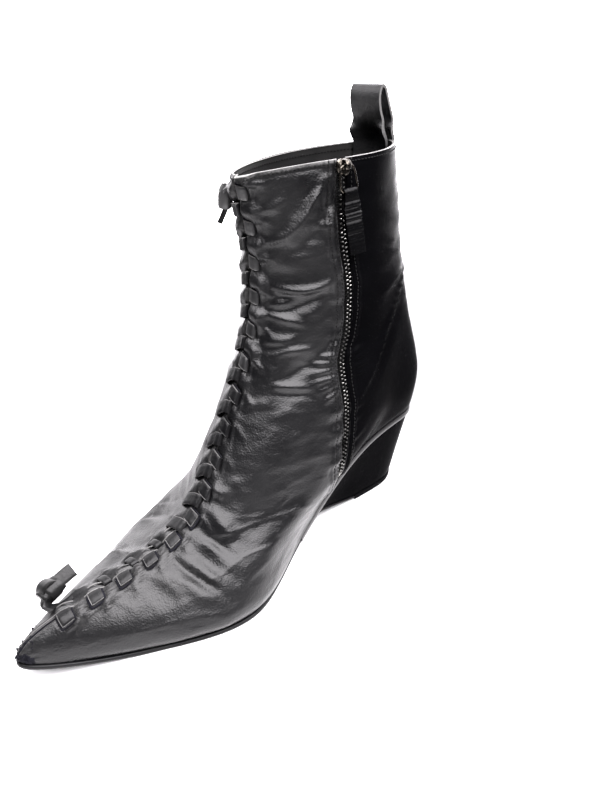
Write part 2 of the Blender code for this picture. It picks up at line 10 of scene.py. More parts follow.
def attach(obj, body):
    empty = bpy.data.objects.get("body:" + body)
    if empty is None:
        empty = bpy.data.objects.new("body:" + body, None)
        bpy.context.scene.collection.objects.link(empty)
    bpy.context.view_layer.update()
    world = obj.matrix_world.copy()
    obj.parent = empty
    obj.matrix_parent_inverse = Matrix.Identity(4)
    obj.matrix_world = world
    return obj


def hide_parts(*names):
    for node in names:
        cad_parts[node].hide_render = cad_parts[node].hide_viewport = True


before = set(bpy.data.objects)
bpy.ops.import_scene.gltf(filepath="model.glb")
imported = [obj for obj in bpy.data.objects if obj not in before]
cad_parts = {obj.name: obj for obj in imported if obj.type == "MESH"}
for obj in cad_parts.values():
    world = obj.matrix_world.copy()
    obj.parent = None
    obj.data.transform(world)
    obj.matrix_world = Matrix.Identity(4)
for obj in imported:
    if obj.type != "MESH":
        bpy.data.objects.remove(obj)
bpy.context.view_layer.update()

MM = 0.001
INNER = -1
OUTER = 1

# The last, as in the part: one row for each level, in percent of the three driving sizes
LENGTH = 260.5
BALL_WIDTH = 84.0
COLLAR_HEIGHT = 202.0
HEEL_REST = 30.0
WALL = 1.6
GAP = 0.3
SEAT_GAP = 0.45
RIM_RISE = 3.8
STATIONS = (0.08, 0.25, 0.45, 0.63, 0.80, 0.93)
LINE_COLUMNS = ("back", "back_shift", "back_rise", "ridge", "ridge_shift", "ridge_rise", "sag")
LINES = (
    (0.3, 0.0, 23.8, 100.0, 1.2, 5.9, 1.00),
    (0.1, 0.0, 26.0, 100.0, 0.4, 8.0, 0.85),
    (0.0, 0.0, 29.0, 93.3, -1.2, 12.3, 0.50),
    (0.3, 0.0, 36.7, 73.7, -8.3, 17.6, 0.25),
    (1.2, 0.6, 44.4, 61.2, -7.7, 29.9, 0.10),
    (3.2, 1.8, 53.7, 52.0, -2.4, 48.5, 0.00),
    (5.0, 3.6, 64.1, 46.8, -0.6, 63.3, 0.00),
    (6.5, 5.4, 79.9, 45.5, 0.6, 81.2, 0.00),
    (5.6, 7.1, 100.0, 48.2, 0.6, 97.3, 0.00),
)
WIDTH_COLUMNS = ("in1", "in2", "in3", "in4", "in5", "in6", "out1", "out2", "out3", "out4", "out5", "out6")
WIDTHS = (
    (32.4, 31.0, 36.0, 53.6, 35.1, 15.5, 31.0, 34.5, 40.5, 45.2, 33.3, 13.7),
    (33.5, 33.0, 37.9, 54.8, 38.1, 14.3, 33.3, 36.9, 42.9, 47.0, 34.5, 13.1),
    (33.9, 35.7, 40.5, 47.6, 34.5, 14.9, 34.5, 38.1, 44.0, 45.2, 30.0, 15.5),
    (33.9, 36.9, 41.7, 40.5, 29.8, 16.7, 33.3, 38.1, 42.9, 46.2, 36.3, 18.5),
    (32.1, 37.4, 42.0, 39.5, 31.1, 17.9, 30.4, 37.6, 42.5, 42.6, 35.6, 20.2),
    (29.6, 37.1, 41.5, 38.8, 30.1, 18.0, 26.9, 35.6, 40.7, 38.6, 30.0, 15.4),
    (27.1, 36.0, 40.1, 37.0, 29.3, 18.1, 20.5, 30.7, 36.1, 34.4, 27.3, 14.6),
    (24.0, 35.0, 39.9, 37.7, 29.6, 18.2, 17.7, 29.3, 34.0, 33.7, 26.9, 16.3),
    (17.9, 32.7, 38.5, 33.0, 23.5, 13.6, 13.7, 23.8, 28.2, 27.1, 21.2, 12.6),
)
# Feather line: percent of length, then height in millimetres
FEATHER = ((0, 48.0), (9.6, 51.3), (23, 43.0), (36.5, 20.9), (49.9, 6.3), (61.4, 2.7), (72.9, 2.4),
           (86.4, 3.7), (100, 11.9))
TOP_LEVEL = len(LINES) - 1
COLUMNS = LINE_COLUMNS + WIDTH_COLUMNS
SCALE = {"back": LENGTH, "ridge": LENGTH, "back_rise": COLLAR_HEIGHT, "ridge_rise": COLLAR_HEIGHT,
         "sag": 100.0}
PERCENT = np.hstack([np.array(LINES), np.array(WIDTHS)])
SIZES = PERCENT * np.array([SCALE.get(name, BALL_WIDTH) for name in COLUMNS]) / 100
COLUMN = {name: i for i, name in enumerate(COLUMNS)}
TURNS = np.concatenate([[0.0], np.arccos(1 - 2 * np.array(STATIONS)), [math.pi]])

# Sole and heel, as in the part
SOLE_EDGE = 1.2
SOLE_ARCH_THICK = 1.3
FLAT_FROM = 158.0
FLAT_TO = 214.0
TOE_SPRING = 9.2
SPRING_POWER = 1.5
# Underside of the arch: distance from the heel's back, height
ARCH = ((57.0, 1.2), (75.0, 4.3), (92.0, 7.1), (108.0, 7.8), (130.0, 4.2), (148.0, 0.9), (158.0, 0.0))
# Share of the feather edge's width that the heel keeps at its foot, inner and outer side
WAIST_SHARE = {INNER: 0.70, OUTER: 0.82}
WEDGE_FRONT = 116.0
LIFT_FRONT = 57.0
LIFT_THICK = 3.0
BACK_SLANT = 8.5

# Zip, as in the part: level and distance from the heel's back
ZIP_PATH = ((1.0, 90.5), (1.6, 92.6), (2.0, 93.9), (2.6, 95.0), (3.3, 94.4), (3.9, 91.6), (4.6, 89.2),
            (5.0, 89.4), (5.3, 88.2), (5.65, 84.2), (6.0, 82.4), (6.5, 82.2), (7.05, 85.2), (7.5, 85.4),
            (8.0, 84.2))
ZIP_FOOT = ZIP_PATH[0][0]
SLOT_HALF = 2.6
TAPE_HALF = 8.0
SLIDER_LEVEL = 7.93
PIVOT_OUT = 3.9
PULL_LEAN = 9.0
LINK_HALF = 5.2
LINK_LENGTH = 11.5
TAB_END = 39.5
TAB_HALF = 4.4
TAB_NECK = 3.4
TAB_LAYER = 0.65
TAB_FOLD = 1.5
TAPE_DEPTH = 1.7

# Lace, as in the part
LACE_FIRST = 31.0
LACE_PITCH = 15.3
LACE_PIECES = 16
# How much nearer to the toe a row lies than an even pitch would put it: number of the row, distance
LACE_DRAW = ((-1, 1.0), (0, 1.5), (3, 3.9), (5, 7.3), (7, 7.2), (10, 4.0), (13, 2.0), (15, 0.0), (16, 0.0))
LACE_REACH = 6.4
# Slope of a strap piece down from the seam: place along the seam, slope
LACE_SLOPES = ((0, 0.3), (95, 0.3), (130, 0.7), (165, 0.7), (208, 0.36), (262, 0.22))

# Pull loop, as in the part
LOOP_WIDTH = 19.0
LOOP_SHIFT = 5.5
LOOP_THICK = 1.5
# Up the rear leg and down the front leg: distance forward of the collar's edge, height above the collar
LOOP_BENDS = ((-1.3, -7.5), (-1.3, 0.0), (0.3, 4.2), (2.6, 7.8), (5.3, 13.5), (7.4, 18.0), (10.4, 24.4),
              (11.9, 26.9), (13.6, 27.7), (15.2, 26.4), (16.1, 22.5), (15.4, 18.0), (13.7, 13.5), (9.8, 8.0),
              (6.0, 4.2), (3.9, 0.0), (3.7, -9.0))
# Above the collar the strap leaves the rim's curve and turns flat
LOOP_CURVED = 2.0
LOOP_FLAT = 13.0

# Creases of the soft leather by side: height (a trough is below zero), half width, then level and s along it
CREASES = {
    INNER: (
        (1.2, 1.9, ((7.8, 93), (7.58, 99), (7.32, 106), (7.14, 113), (7.08, 119))),
        (0.7, 4.6, ((7.82, 90), (7.52, 97), (7.24, 105), (7.04, 114))),
        (-1.0, 3.4, ((7.66, 88), (7.38, 95), (7.12, 102), (6.98, 110))),
        (0.6, 1.8, ((7.32, 104), (7.28, 96), (7.27, 89))),
        (0.7, 2.2, ((7.66, 109), (7.5, 119))),
        (1.2, 1.9, ((6.57, 117), (6.5, 110), (6.49, 103), (6.53, 96), (6.62, 89))),
        (-1.3, 2.8, ((6.39, 115), (6.36, 104), (6.41, 93))),
        (0.9, 1.9, ((6.3, 116), (6.36, 110), (6.4, 103))),
        (-0.8, 2.6, ((6.22, 117), (6.25, 110), (6.28, 101))),
        (0.8, 1.9, ((6.2, 120), (6.12, 113), (6.0, 104))),
        (0.7, 2.2, ((5.8, 121), (5.79, 110))),
        (0.8, 1.8, ((5.54, 121), (5.6, 112), (5.58, 103))),
        (-1.4, 4.0, ((5.56, 91), (5.34, 105), (5.14, 119))),
        (0.9, 1.8, ((5.08, 124), (5.0, 116), (4.92, 108))),
        (-1.0, 2.6, ((4.95, 125), (4.88, 116), (4.82, 106))),
        (0.6, 2.0, ((4.86, 137), (4.86, 128))),
        (0.5, 2.6, ((4.68, 130), (4.66, 118))),
        (1.6, 2.2, ((6.36, 26), (5.52, 50), (4.96, 63), (4.68, 71), (4.48, 80))),
        (-1.2, 3.6, ((6.2, 22), (5.36, 45), (4.8, 59), (4.5, 70))),
        (1.4, 5.0, ((6.5, 32), (6.36, 46), (6.2, 59))),
        (-1.0, 1.6, ((2.98, 190), (2.22, 185), (1.4, 176))),
        (0.8, 3.0, ((2.92, 197), (2.2, 191), (1.5, 181))),
        (0.7, 1.9, ((2.88, 185), (2.3, 181), (1.55, 174))),
        (-0.5, 1.7, ((3.2, 181), (2.5, 177), (1.7, 171.5))),
        (0.5, 2.0, ((3.34, 179), (2.8, 172), (2.0, 168))),
        (-0.5, 1.8, ((3.5, 174), (2.95, 170), (2.3, 165))),
        (0.5, 1.8, ((2.7, 202), (2.3, 197), (1.9, 194))),
        (1.2, 4.0, ((3.66, 166), (3.28, 164), (2.84, 162))),
        (0.8, 2.6, ((3.9, 161), (3.8, 155))),
    ),
    OUTER: (
        (-0.7, 3.6, ((2.2, 163), (2.8, 164), (3.4, 165))),
        (0.7, 4.2, ((2.2, 168), (2.8, 169), (3.35, 170))),
        (-0.7, 3.8, ((2.1, 176), (2.7, 174), (3.22, 172))),
        (0.7, 4.2, ((2.1, 183), (2.7, 180), (3.2, 177))),
        (-0.5, 3.4, ((2.1, 199), (2.8, 195))),
        (0.7, 3.2, ((2.1, 205), (2.76, 200))),
        (1.4, 3.4, ((6.6, 114), (6.52, 92), (6.6, 60))),
        (-1.3, 3.4, ((6.42, 112), (6.36, 90), (6.44, 58))),
        (1.1, 3.0, ((5.56, 120), (5.48, 98), (5.6, 70))),
        (-1.2, 3.6, ((5.36, 120), (5.26, 96), (5.4, 66))),
        (1.0, 3.0, ((4.96, 124), (4.84, 104), (4.9, 84))),
        (1.0, 2.4, ((6.2, 26), (5.4, 50), (4.8, 66), (4.4, 84))),
        (1.0, 4.4, ((7.7, 88), (7.4, 100), (7.1, 112))),
    ),
}
# Gathers at the zip's bend: level at the zip and at the far end, and s at the far end
GATHERS = ((5.34, 5.42, 102), (5.22, 5.28, 104), (5.10, 5.13, 106), (4.98, 4.98, 106), (4.87, 4.80, 105),
           (4.76, 4.62, 103), (5.26, 5.36, 73), (5.14, 5.20, 71), (5.02, 5.00, 71), (4.91, 4.82, 72))

# Camera of the photograph, 600 by 800 pixels
CAMERA_AIM = (-97.75, -40.28, 102.94)
CAMERA_DISTANCE = 306.14
CAMERA_AZIMUTH = -46.007
CAMERA_ELEVATION = 27.161
CAMERA_ROLL = -0.444
CAMERA_LENS = 30.097


# Surface of the last, as in the part
def spline(knots, rows, at):
    """Natural cubic curve through rows, one row for each knot."""
    knots = np.asarray(knots, float)
    rows = np.asarray(rows, float)
    at = np.asarray(at, float)
    step = np.diff(knots)
    slope = np.diff(rows, axis=0) / step[:, None]
    last = len(knots) - 1
    system = np.eye(last + 1)
    right = np.zeros_like(rows)
    for i in range(1, last):
        system[i, i - 1:i + 2] = (step[i - 1], 2 * (step[i - 1] + step[i]), step[i])
        right[i] = 3 * (slope[i] - slope[i - 1])
    bend = np.linalg.solve(system, right)
    i = np.clip(np.searchsorted(knots, at) - 1, 0, last - 1)
    d = (at - knots[i])[:, None]
    h = step[i][:, None]
    first = slope[i] - h * (2 * bend[i] + bend[i + 1]) / 3
    return rows[i] + d * (first + d * (bend[i] + d * (bend[i + 1] - bend[i]) / (3 * h)))


def curve(table, at):
    """Smooth curve through a two-column table."""
    table = np.asarray(table, float)
    at = np.asarray(at, float)
    return spline(table[:, 0], table[:, 1:], at.ravel()).reshape(at.shape)


def through(points, count):
    """Evenly counted points on a smooth curve through a few given ones."""
    points = np.asarray(points, float)
    return spline(np.arange(len(points)), points, np.linspace(0, len(points) - 1, count))


def smooth(low, high, at):
    """Ease from 0 to 1 between low and high."""
    u = np.clip((np.asarray(at, float) - low) / (high - low), 0, 1)
    return u * u * (3 - 2 * u)


def bump(at, middle, half):
    """Soft bell of height 1."""
    return np.exp(-((np.asarray(at) - middle) / half) ** 2)


def unit(v):
    return v / np.linalg.norm(v, axis=-1, keepdims=True)


def feather(share):
    """Height of the feather line at a share of the length."""
    return curve(FEATHER, np.asarray(share) * 100)


def skin(level, turn, side):
    """Points of the outer surface for rows of levels and turns."""
    row = spline(np.arange(TOP_LEVEL + 1), SIZES, level)
    share = (1 - np.cos(turn)) / 2

    def column(name):
        return row[:, COLUMN[name]][:, None]

    first = COLUMN["in1"] if side < 0 else COLUMN["out1"]
    widths = np.pad(row[:, first:first + 6], ((0, 0), (1, 1)))
    basis = spline(TURNS, np.eye(8), turn.ravel()).reshape(turn.shape + (8,))
    half = np.einsum("rck,rk->rc", basis, widths)
    s = column("back") + (column("ridge") - column("back")) * share
    middle = column("back_shift") * (1 - share) + column("ridge_shift") * share
    chord = FEATHER[0][1] + (FEATHER[-1][1] - FEATHER[0][1]) * share
    z = column("back_rise") + (column("ridge_rise") - column("back_rise")) * share
    z = z + np.clip(column("sag"), 0, 1) * (feather(share) - chord)
    if side < 0:
        z = z + RIM_RISE * (np.clip((level - 6) / 2, 0, 1) ** 2)[:, None] * np.sin(turn)
    return np.stack([HEEL_REST - s, middle + side * half, z], axis=-1)


def spot(level, turn, side):
    """Single points of the surface."""
    level = np.atleast_1d(np.asarray(level, float))
    turn = np.broadcast_to(np.asarray(turn, float), level.shape)
    return skin(level, turn[:, None], side)[:, 0]


def slopes(level, turn, side):
    """Changes of the surface with level and with turn."""
    e = 0.002
    up = (spot(level + e, turn, side) - spot(level - e, turn, side)) / (2 * e)
    along = (spot(level, turn + e, side) - spot(level, turn - e, side)) / (2 * e)
    return up, along


def facing(level, turn, side):
    """Outward unit normals of the surface."""
    up, along = slopes(level, turn, side)
    return unit(np.cross(along, up) * side)


def turn_at(level, s):
    """Turn of the point at distance s on a level."""
    row = spline(np.arange(TOP_LEVEL + 1), SIZES, level)
    back = row[:, COLUMN["back"]]
    ridge = row[:, COLUMN["ridge"]]
    return np.arccos(np.clip(1 - 2 * (s - back) / (ridge - back), -1, 1))


def zip_turn(level):
    return turn_at(level, curve(ZIP_PATH, level))


def zip_rate(level):
    """Millimetres of surface for each radian of turn at the zip."""
    return np.linalg.norm(slopes(level, zip_turn(level), INNER)[1], axis=-1)


def reaches(path):
    """Distance of each point from the first along a path, or along each column of a grid."""
    steps = np.linalg.norm(np.diff(path, axis=0), axis=-1)
    return np.concatenate([np.zeros_like(steps[:1]), np.cumsum(steps, axis=0)])


# Front ridge from the toe's feather edge up to the collar
RIDGE_LEVEL = np.linspace(0, TOP_LEVEL, 321)
RIDGE_POINTS = spot(RIDGE_LEVEL, math.pi, OUTER)
RIDGE_REACH = reaches(RIDGE_POINTS)


def walk(reach, distance, side):
    """Points and normals at a distance from the front seam along the surface, square to the seam."""
    level = np.interp(reach, RIDGE_REACH, RIDGE_LEVEL)
    turn = np.full(len(level), math.pi)
    run = unit(slopes(level, turn, side)[0])
    distance = np.broadcast_to(np.asarray(distance, float), len(level))
    steps = max(1, int(math.ceil(distance.max())))
    for _ in range(steps):
        up, along = slopes(level, turn, side)
        out = unit(np.cross(along, up) * side)
        ahead = unit(np.cross(out, run)) * side
        across = np.stack([up, along], axis=-1)
        move = np.einsum("nij,nj->ni", np.linalg.pinv(across), ahead * (distance / steps)[:, None])
        level = level + move[:, 0]
        turn = turn + move[:, 1]
    return spot(level, turn, side), facing(level, turn, side)


# Meshes
def piece(name, shape, materials, body="boot", sharp=55.0):
    """A visible piece that rides on a body: points, faces and, where given, the material of each face."""
    verts, faces, kinds = shape
    mesh = bpy.data.meshes.new(name)
    mesh.from_pydata((np.asarray(verts) * MM).tolist(), [], [tuple(int(v) for v in f) for f in faces])
    for finish in materials:
        mesh.materials.append(finish)
    mesh.polygons.foreach_set("material_index", np.minimum(kinds, len(materials) - 1).astype(np.int32))
    mesh.polygons.foreach_set("use_smooth", np.ones(len(mesh.polygons), bool))
    mesh.set_sharp_from_angle(angle=math.radians(sharp))
    mesh.update()
    made = bpy.data.objects.new(name, mesh)
    bpy.context.scene.collection.objects.link(made)
    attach(made, body)
    return made


def shell(outer, inner, mask=None, round_trip=False, paint=None):
    """Solid between two grids.

    Faces are outer 0 or the cell's paint, inner 1, at the rows' ends 2, at the columns' ends 3.
    """
    rows, cols = outer.shape[:2]
    count = rows * cols
    if mask is None:
        mask = np.ones((rows - 1, cols if round_trip else cols - 1), bool)
    around = np.pad(mask, ((1, 1), (0, 0)))
    left = np.roll(around, 1, axis=1) if round_trip else np.pad(around, ((0, 0), (1, 0)))[:, :-1]
    right = np.roll(around, -1, axis=1) if round_trip else np.pad(around, ((0, 0), (0, 1)))[:, 1:]
    if paint is None:
        paint = np.zeros(mask.shape, int)
    faces = []
    kinds = []
    for j, i in np.argwhere(mask):
        k = (i + 1) % cols
        a, b, c, d = j * cols + i, j * cols + k, (j + 1) * cols + k, (j + 1) * cols + i
        faces += [(a, d, c, b), (a + count, b + count, c + count, d + count)]
        kinds += [paint[j, i], 1]
        for p, q, beside, kind in ((a, d, left[j + 1, i], 3), (d, c, around[j + 2, i], 2),
                                   (c, b, right[j + 1, i], 3), (b, a, around[j, i], 2)):
            if not beside:
                faces.append((q, p, p + count, q + count))
                kinds.append(kind)
    verts = np.concatenate([outer.reshape(-1, 3), inner.reshape(-1, 3)])
    used, flat = np.unique(np.array(faces), return_inverse=True)
    return verts[used], flat.reshape(-1, 4), np.array(kinds)


def loft(sections, kinds=None, ring=False):
    """Solid through closed sections with the same number of points; kinds gives a material to each side."""
    sections = np.asarray(sections, float)
    count, size = sections.shape[:2]
    kinds = np.zeros(size, int) if kinds is None else np.asarray(kinds)
    faces = []
    made = []
    for n in range(count if ring else count - 1):
        m = (n + 1) % count
        for k in range(size):
            h = (k + 1) % size
            faces.append((n * size + k, n * size + h, m * size + h, m * size + k))
            made.append(kinds[k])
    if not ring:
        faces.append(tuple(reversed(range(size))))
        faces.append(tuple(range((count - 1) * size, count * size)))
        made += [kinds.max(), kinds.max()]
    verts = sections.reshape(-1, 3)
    middle = verts.mean(axis=0)
    volume = 0.0
    for f in faces:
        corners = verts[list(f)] - middle
        volume += np.cross(corners[1:-1], corners[2:]).sum(axis=0) @ corners[0]
    if volume < 0:
        faces = [tuple(reversed(f)) for f in faces]
    return verts, faces, np.array(made)


def joined(shapes):
    """Several solids in one piece."""
    verts = []
    faces = []
    kinds = []
    count = 0
    for v, f, k in shapes:
        verts.append(v)
        faces += [tuple(int(n) + count for n in face) for face in f]
        kinds.append(k)
        count += len(v)
    return np.concatenate(verts), faces, np.concatenate(kinds)


def oval(half_wide, half_thick, sides, square=1.0):
    """Offsets round a cross-section; a small square value gives a flat strap with rounded edges."""
    angle = np.linspace(0, 2 * math.pi, sides, endpoint=False) + math.pi / sides
    both = np.column_stack([np.cos(angle), np.sin(angle)])
    return np.array([half_wide, half_thick]) * np.sign(both) * np.abs(both) ** square


def swept(path, wide, half_wide, half_thick, sides=8, square=1.0, ring=False):
    """Cord or strap along a path; wide is the direction of its width."""
    path = np.asarray(path, float)
    if ring:
        run = np.roll(path, -1, axis=0) - np.roll(path, 1, axis=0)
    else:
        run = np.gradient(path, axis=0)
    run = unit(run)
    wide = np.broadcast_to(np.asarray(wide, float), path.shape)
    wide = unit(wide - run * np.einsum("ij,ij->i", wide, run)[:, None])
    thin = np.cross(run, wide)
    half_wide = np.broadcast_to(np.asarray(half_wide, float), len(path))
    half_thick = np.broadcast_to(np.asarray(half_thick, float), len(path))
    sections = []
    for p, w, t, a, b in zip(path, wide, thin, half_wide, half_thick):
        o = oval(a, b, sides, square)
        sections.append(p + o[:, :1] * w + o[:, 1:] * t)
    return loft(sections, ring=ring)


def along(path, pitch, first=0.5):
    """Places every pitch along a path: index shares to read other rows of the path at."""
    reach = reaches(path)
    stops = np.arange(first * pitch, reach[-1], pitch)
    return np.interp(stops, reach, np.arange(len(path)))


def read(rows, at):
    """Rows of an array between its own rows."""
    return np.column_stack([np.interp(at, np.arange(len(rows)), rows[:, k]) for k in range(rows.shape[1])])


STITCH_PITCH = 2.0
STITCH_LENGTH = 1.25
STITCH_HALF = 0.27


def stitches(path, out):
    """Row of thread stitches lying on a line of the surface."""
    at = along(path, STITCH_PITCH)
    middle = read(path, at)
    up = unit(read(out, at))
    run = unit(read(np.gradient(path, axis=0), at))
    shapes = []
    for p, n, r in zip(middle, up, run):
        ends = p + STITCH_LENGTH * np.linspace(-0.5, 0.5, 5)[:, None] * r
        ends += n * STITCH_HALF * np.array([-1.0, 0.35, 0.6, 0.35, -1.0])[:, None]
        shapes.append(swept(ends, np.cross(n, r), STITCH_HALF, STITCH_HALF, sides=6))
    return joined(shapes)


# Materials
def nodes_of(name):
    """A new material, its node tree and its main shader."""
    made = bpy.data.materials.new(name)
    made.use_nodes = True
    return made, made.node_tree, made.node_tree.nodes["Principled BSDF"]


def put(tree, made, sockets):
    """Values on a node's sockets, or links from other nodes' outputs."""
    for name, value in sockets.items():
        if isinstance(value, bpy.types.NodeSocket):
            tree.links.new(value, made.inputs[name])
        else:
            made.inputs[name].default_value = value


def node(tree, kind, sockets, **settings):
    made = tree.nodes.new(kind)
    for name, value in settings.items():
        setattr(made, name, value)
    put(tree, made, sockets)
    return made


def object_place(tree, stretch=(1, 1, 1)):
    """Position on the object, stretched for streaks."""
    place = node(tree, "ShaderNodeTexCoord", {})
    scaled = node(tree, "ShaderNodeMapping", {"Vector": place.outputs["Object"], "Scale": stretch})
    return scaled.outputs["Vector"]


def ramp(tree, value, low, high, at_low=0.0, at_high=1.0):
    """Value mapped from one range to another and kept inside it."""
    ends = {"From Min": low, "From Max": high, "To Min": at_low, "To Max": at_high}
    return node(tree, "ShaderNodeMapRange", {"Value": value, **ends}).outputs["Result"]


def cloud(tree, place, scale, detail, **more):
    """Soft noise as a value."""
    sockets = {"Vector": place, "Scale": scale, "Detail": detail, **more}
    return node(tree, "ShaderNodeTexNoise", sockets).outputs["Fac"]


def worked(tree, operation, *values):
    """Result of a sum on values and sockets."""
    return node(tree, "ShaderNodeMath", dict(enumerate(values)), operation=operation).outputs[0]


def blend(tree, share, low, high):
    """Mix of two colours; the first may come from another node."""
    low = low if isinstance(low, bpy.types.NodeSocket) else (*low, 1)
    sockets = {"Factor": share, "A": low, "B": (*high, 1)}
    return node(tree, "ShaderNodeMix", sockets, data_type="RGBA").outputs["Result"]


def relief(tree, height, strength, depth, **under):
    """Bumps of a depth in metres, over another node's bumps where given."""
    sockets = {"Height": height, "Strength": strength, "Distance": depth, **under}
    return node(tree, "ShaderNodeBump", sockets).outputs["Normal"]


# Paler grey for scuffed places and for painted sheen
RUBBED_AND_SHEEN_GREY = (0.09, 0.088, 0.085)
COAT_ROUGHNESS = 0.22
PATCH_SCALE = 38.0
PORE_SCALE = 1250.0
FOLD_SCALE = 230.0
SCRATCH_SCALE = 520.0


def leather(name, dark, pale, rough=(0.26, 0.42), grain=0.10, crinkle=0.18, streak=(1, 1, 1), coat=0.06,
            gleam=0.28, worn_and_sheen=0.0):
    """Black leather: pores, fine crinkles, patchy gloss, and a paler grey where the piece marks it: scuffing
    at the upper's edges and painted sheen over its vamp.
    """
    made, tree, shader = nodes_of(name)
    place = object_place(tree)
    patches = cloud(tree, place, PATCH_SCALE, 3.0)
    pores = node(tree, "ShaderNodeTexVoronoi", {"Vector": place, "Scale": PORE_SCALE})
    folds = cloud(tree, object_place(tree, streak), FOLD_SCALE, 4.0, Roughness=0.6, Distortion=0.6)
    colour = blend(tree, ramp(tree, patches, 0.35, 0.7), dark, pale)
    gloss = ramp(tree, patches, 0.3, 0.75, *rough)
    if worn_and_sheen:
        mark = node(tree, "ShaderNodeAttribute", {}, attribute_name="wear_and_sheen")
        scratch = ramp(tree, cloud(tree, place, SCRATCH_SCALE, 5.0, Roughness=0.7), 0.42, 0.62, 0.15, worn_and_sheen)
        # Share of the paler grey: scuffing, and painted sheen where the upper marks its vamp
        rubbed = worked(tree, "MULTIPLY", mark.outputs["Fac"], scratch)
        colour = blend(tree, rubbed, colour, RUBBED_AND_SHEEN_GREY)
        gloss = worked(tree, "MULTIPLY_ADD", rubbed, 0.3, gloss)
    fine = relief(tree, pores.outputs["Distance"], grain, 0.0003)
    put(tree, shader, {"Base Color": colour, "Roughness": gloss, "Specular IOR Level": gleam,
                       "Coat Weight": coat, "Coat Roughness": COAT_ROUGHNESS,
                       "Normal": relief(tree, folds, crinkle, 0.0012, Normal=fine)})
    return made


def metal(name, bright, dull, rough=(0.18, 0.42)):
    """Antique metal: bright rubbed places over a dull darkened finish."""
    made, tree, shader = nodes_of(name)
    patches = cloud(tree, object_place(tree), 420.0, 4.0, Roughness=0.65)
    put(tree, shader, {"Base Color": blend(tree, ramp(tree, patches, 0.38, 0.62), dull, bright),
                       "Roughness": ramp(tree, patches, 0.35, 0.65, rough[1], rough[0]),
                       "Metallic": 1.0, "Normal": relief(tree, patches, 0.25, 0.0002)})
    return made


def weave(name, dark, pale, scale):
    """Woven tape or thread."""
    made, tree, shader = nodes_of(name)
    sockets = {"Vector": object_place(tree), "Scale": scale, "Distortion": 1.5, "Detail": 2.0}
    rows = node(tree, "ShaderNodeTexWave", sockets, bands_direction="Z").outputs["Fac"]
    put(tree, shader, {"Base Color": blend(tree, rows, dark, pale), "Roughness": 0.75,
                       "Specular IOR Level": 0.05, "Normal": relief(tree, rows, 0.5, 0.0003)})
    return made


def grey(value):
    return (value, value, value)


BLACK = (0.0015, 0.0015, 0.0018)
SOFT_BLACK = (0.004, 0.004, 0.0043)
DEEP_BLACK = (0.001, 0.001, 0.0012)
PALE_EDGE = (0.12, 0.118, 0.115)
UPPER_LEATHER = leather("upper_black", BLACK, SOFT_BLACK, rough=(0.27, 0.40), grain=0.3, crinkle=0.2,
                        streak=(1, 1, 1.6), gleam=0.27, worn_and_sheen=0.9)
# Painted shade: a darker, nearly glossless copy of the upper's leather for the inner rear panel and the back
# seam
QUARTER_SHADED_LEATHER = leather("quarter_shaded_black", DEEP_BLACK, BLACK, rough=(0.2, 0.3), crinkle=0.08, coat=0.0,
                          gleam=0.003)
BACK_LEATHER = leather("back_black", BLACK, SOFT_BLACK, rough=(0.14, 0.22), crinkle=0.1, gleam=0.42)
TAB_LEATHER = leather("tab_black", DEEP_BLACK, BLACK, rough=(0.22, 0.34), crinkle=0.3, coat=0.0, gleam=0.07)
TOE_KNOT_LEATHER = leather("toe_knot_black", BLACK, grey(0.006), rough=(0.24, 0.36), crinkle=0.3, gleam=0.2)
# Painted sheen: the top knot's strap is a paler grey than the lace's leather
TOP_KNOT_SHEEN_LEATHER = leather("top_knot_sheen_grey", grey(0.012), grey(0.030), rough=(0.26, 0.4), gleam=0.5)
LINING = leather("lining_black", grey(0.010), (0.020, 0.0195, 0.019), rough=(0.5, 0.65), coat=0.0)
# Pale grey of cut edges, partly painted highlight where the collar's near rim uses it
CUT_EDGE_AND_HIGHLIGHT = leather("cut_edge_and_highlight_grey", PALE_EDGE, (0.28, 0.275, 0.27), rough=(0.4, 0.6), coat=0.0)
STRAP_LEATHER = leather("strap_black", BLACK, (0.008, 0.008, 0.0082), rough=(0.26, 0.4), crinkle=0.3,
                        coat=0.03, gleam=0.62)
BAND_LEATHER = leather("band_black", BLACK, SOFT_BLACK, rough=(0.28, 0.42), crinkle=0.3, coat=0.0, gleam=0.2)
# Pale grey for cut edges, also used as painted highlight on the lace's edges, lips and the toe seam's fold
EDGE_AND_HIGHLIGHT_GREY = leather("edge_and_highlight_grey", grey(0.03), PALE_EDGE, rough=(0.4, 0.55), coat=0.0)
# Dark torn leather, also used for painted shadow in the slits and in the toe seam
TORN_AND_SHADOW_LEATHER = leather("torn_and_shadow_black", DEEP_BLACK, (0.006, 0.006, 0.009), rough=(0.7, 0.9), grain=0.3,
                       crinkle=0.6, coat=0.0, gleam=0.1)
# Painted shade: the wedge's cover is a darker, nearly glossless copy of the upper's leather
WEDGE_SHADED_LEATHER = leather("wedge_shaded_black", DEEP_BLACK, BLACK, rough=(0.22, 0.3), crinkle=0.05, coat=0.0,
                        gleam=0.0015)
SOLE_LEATHER = leather("sole_black", BLACK, SOFT_BLACK, rough=(0.35, 0.55), coat=0.0, gleam=0.16)
LIFT_RUBBER = leather("lift_black", DEEP_BLACK, BLACK, rough=(0.5, 0.65), coat=0.0, gleam=0.02)
BOARD = leather("insole_dark", (0.020, 0.019, 0.018), (0.035, 0.033, 0.031), rough=(0.6, 0.75), coat=0.0)
THREAD = weave("thread_black", grey(0.003), grey(0.016), scale=1500.0)
TAPE = weave("tape_black", grey(0.003), grey(0.009), scale=250.0)
TOOTH_METAL = metal("tooth_gunmetal", (0.34, 0.335, 0.32), grey(0.008))
PULL_METAL = metal("pull_bronze", (0.11, 0.098, 0.083), (0.008, 0.007, 0.006), rough=(0.1, 0.3))


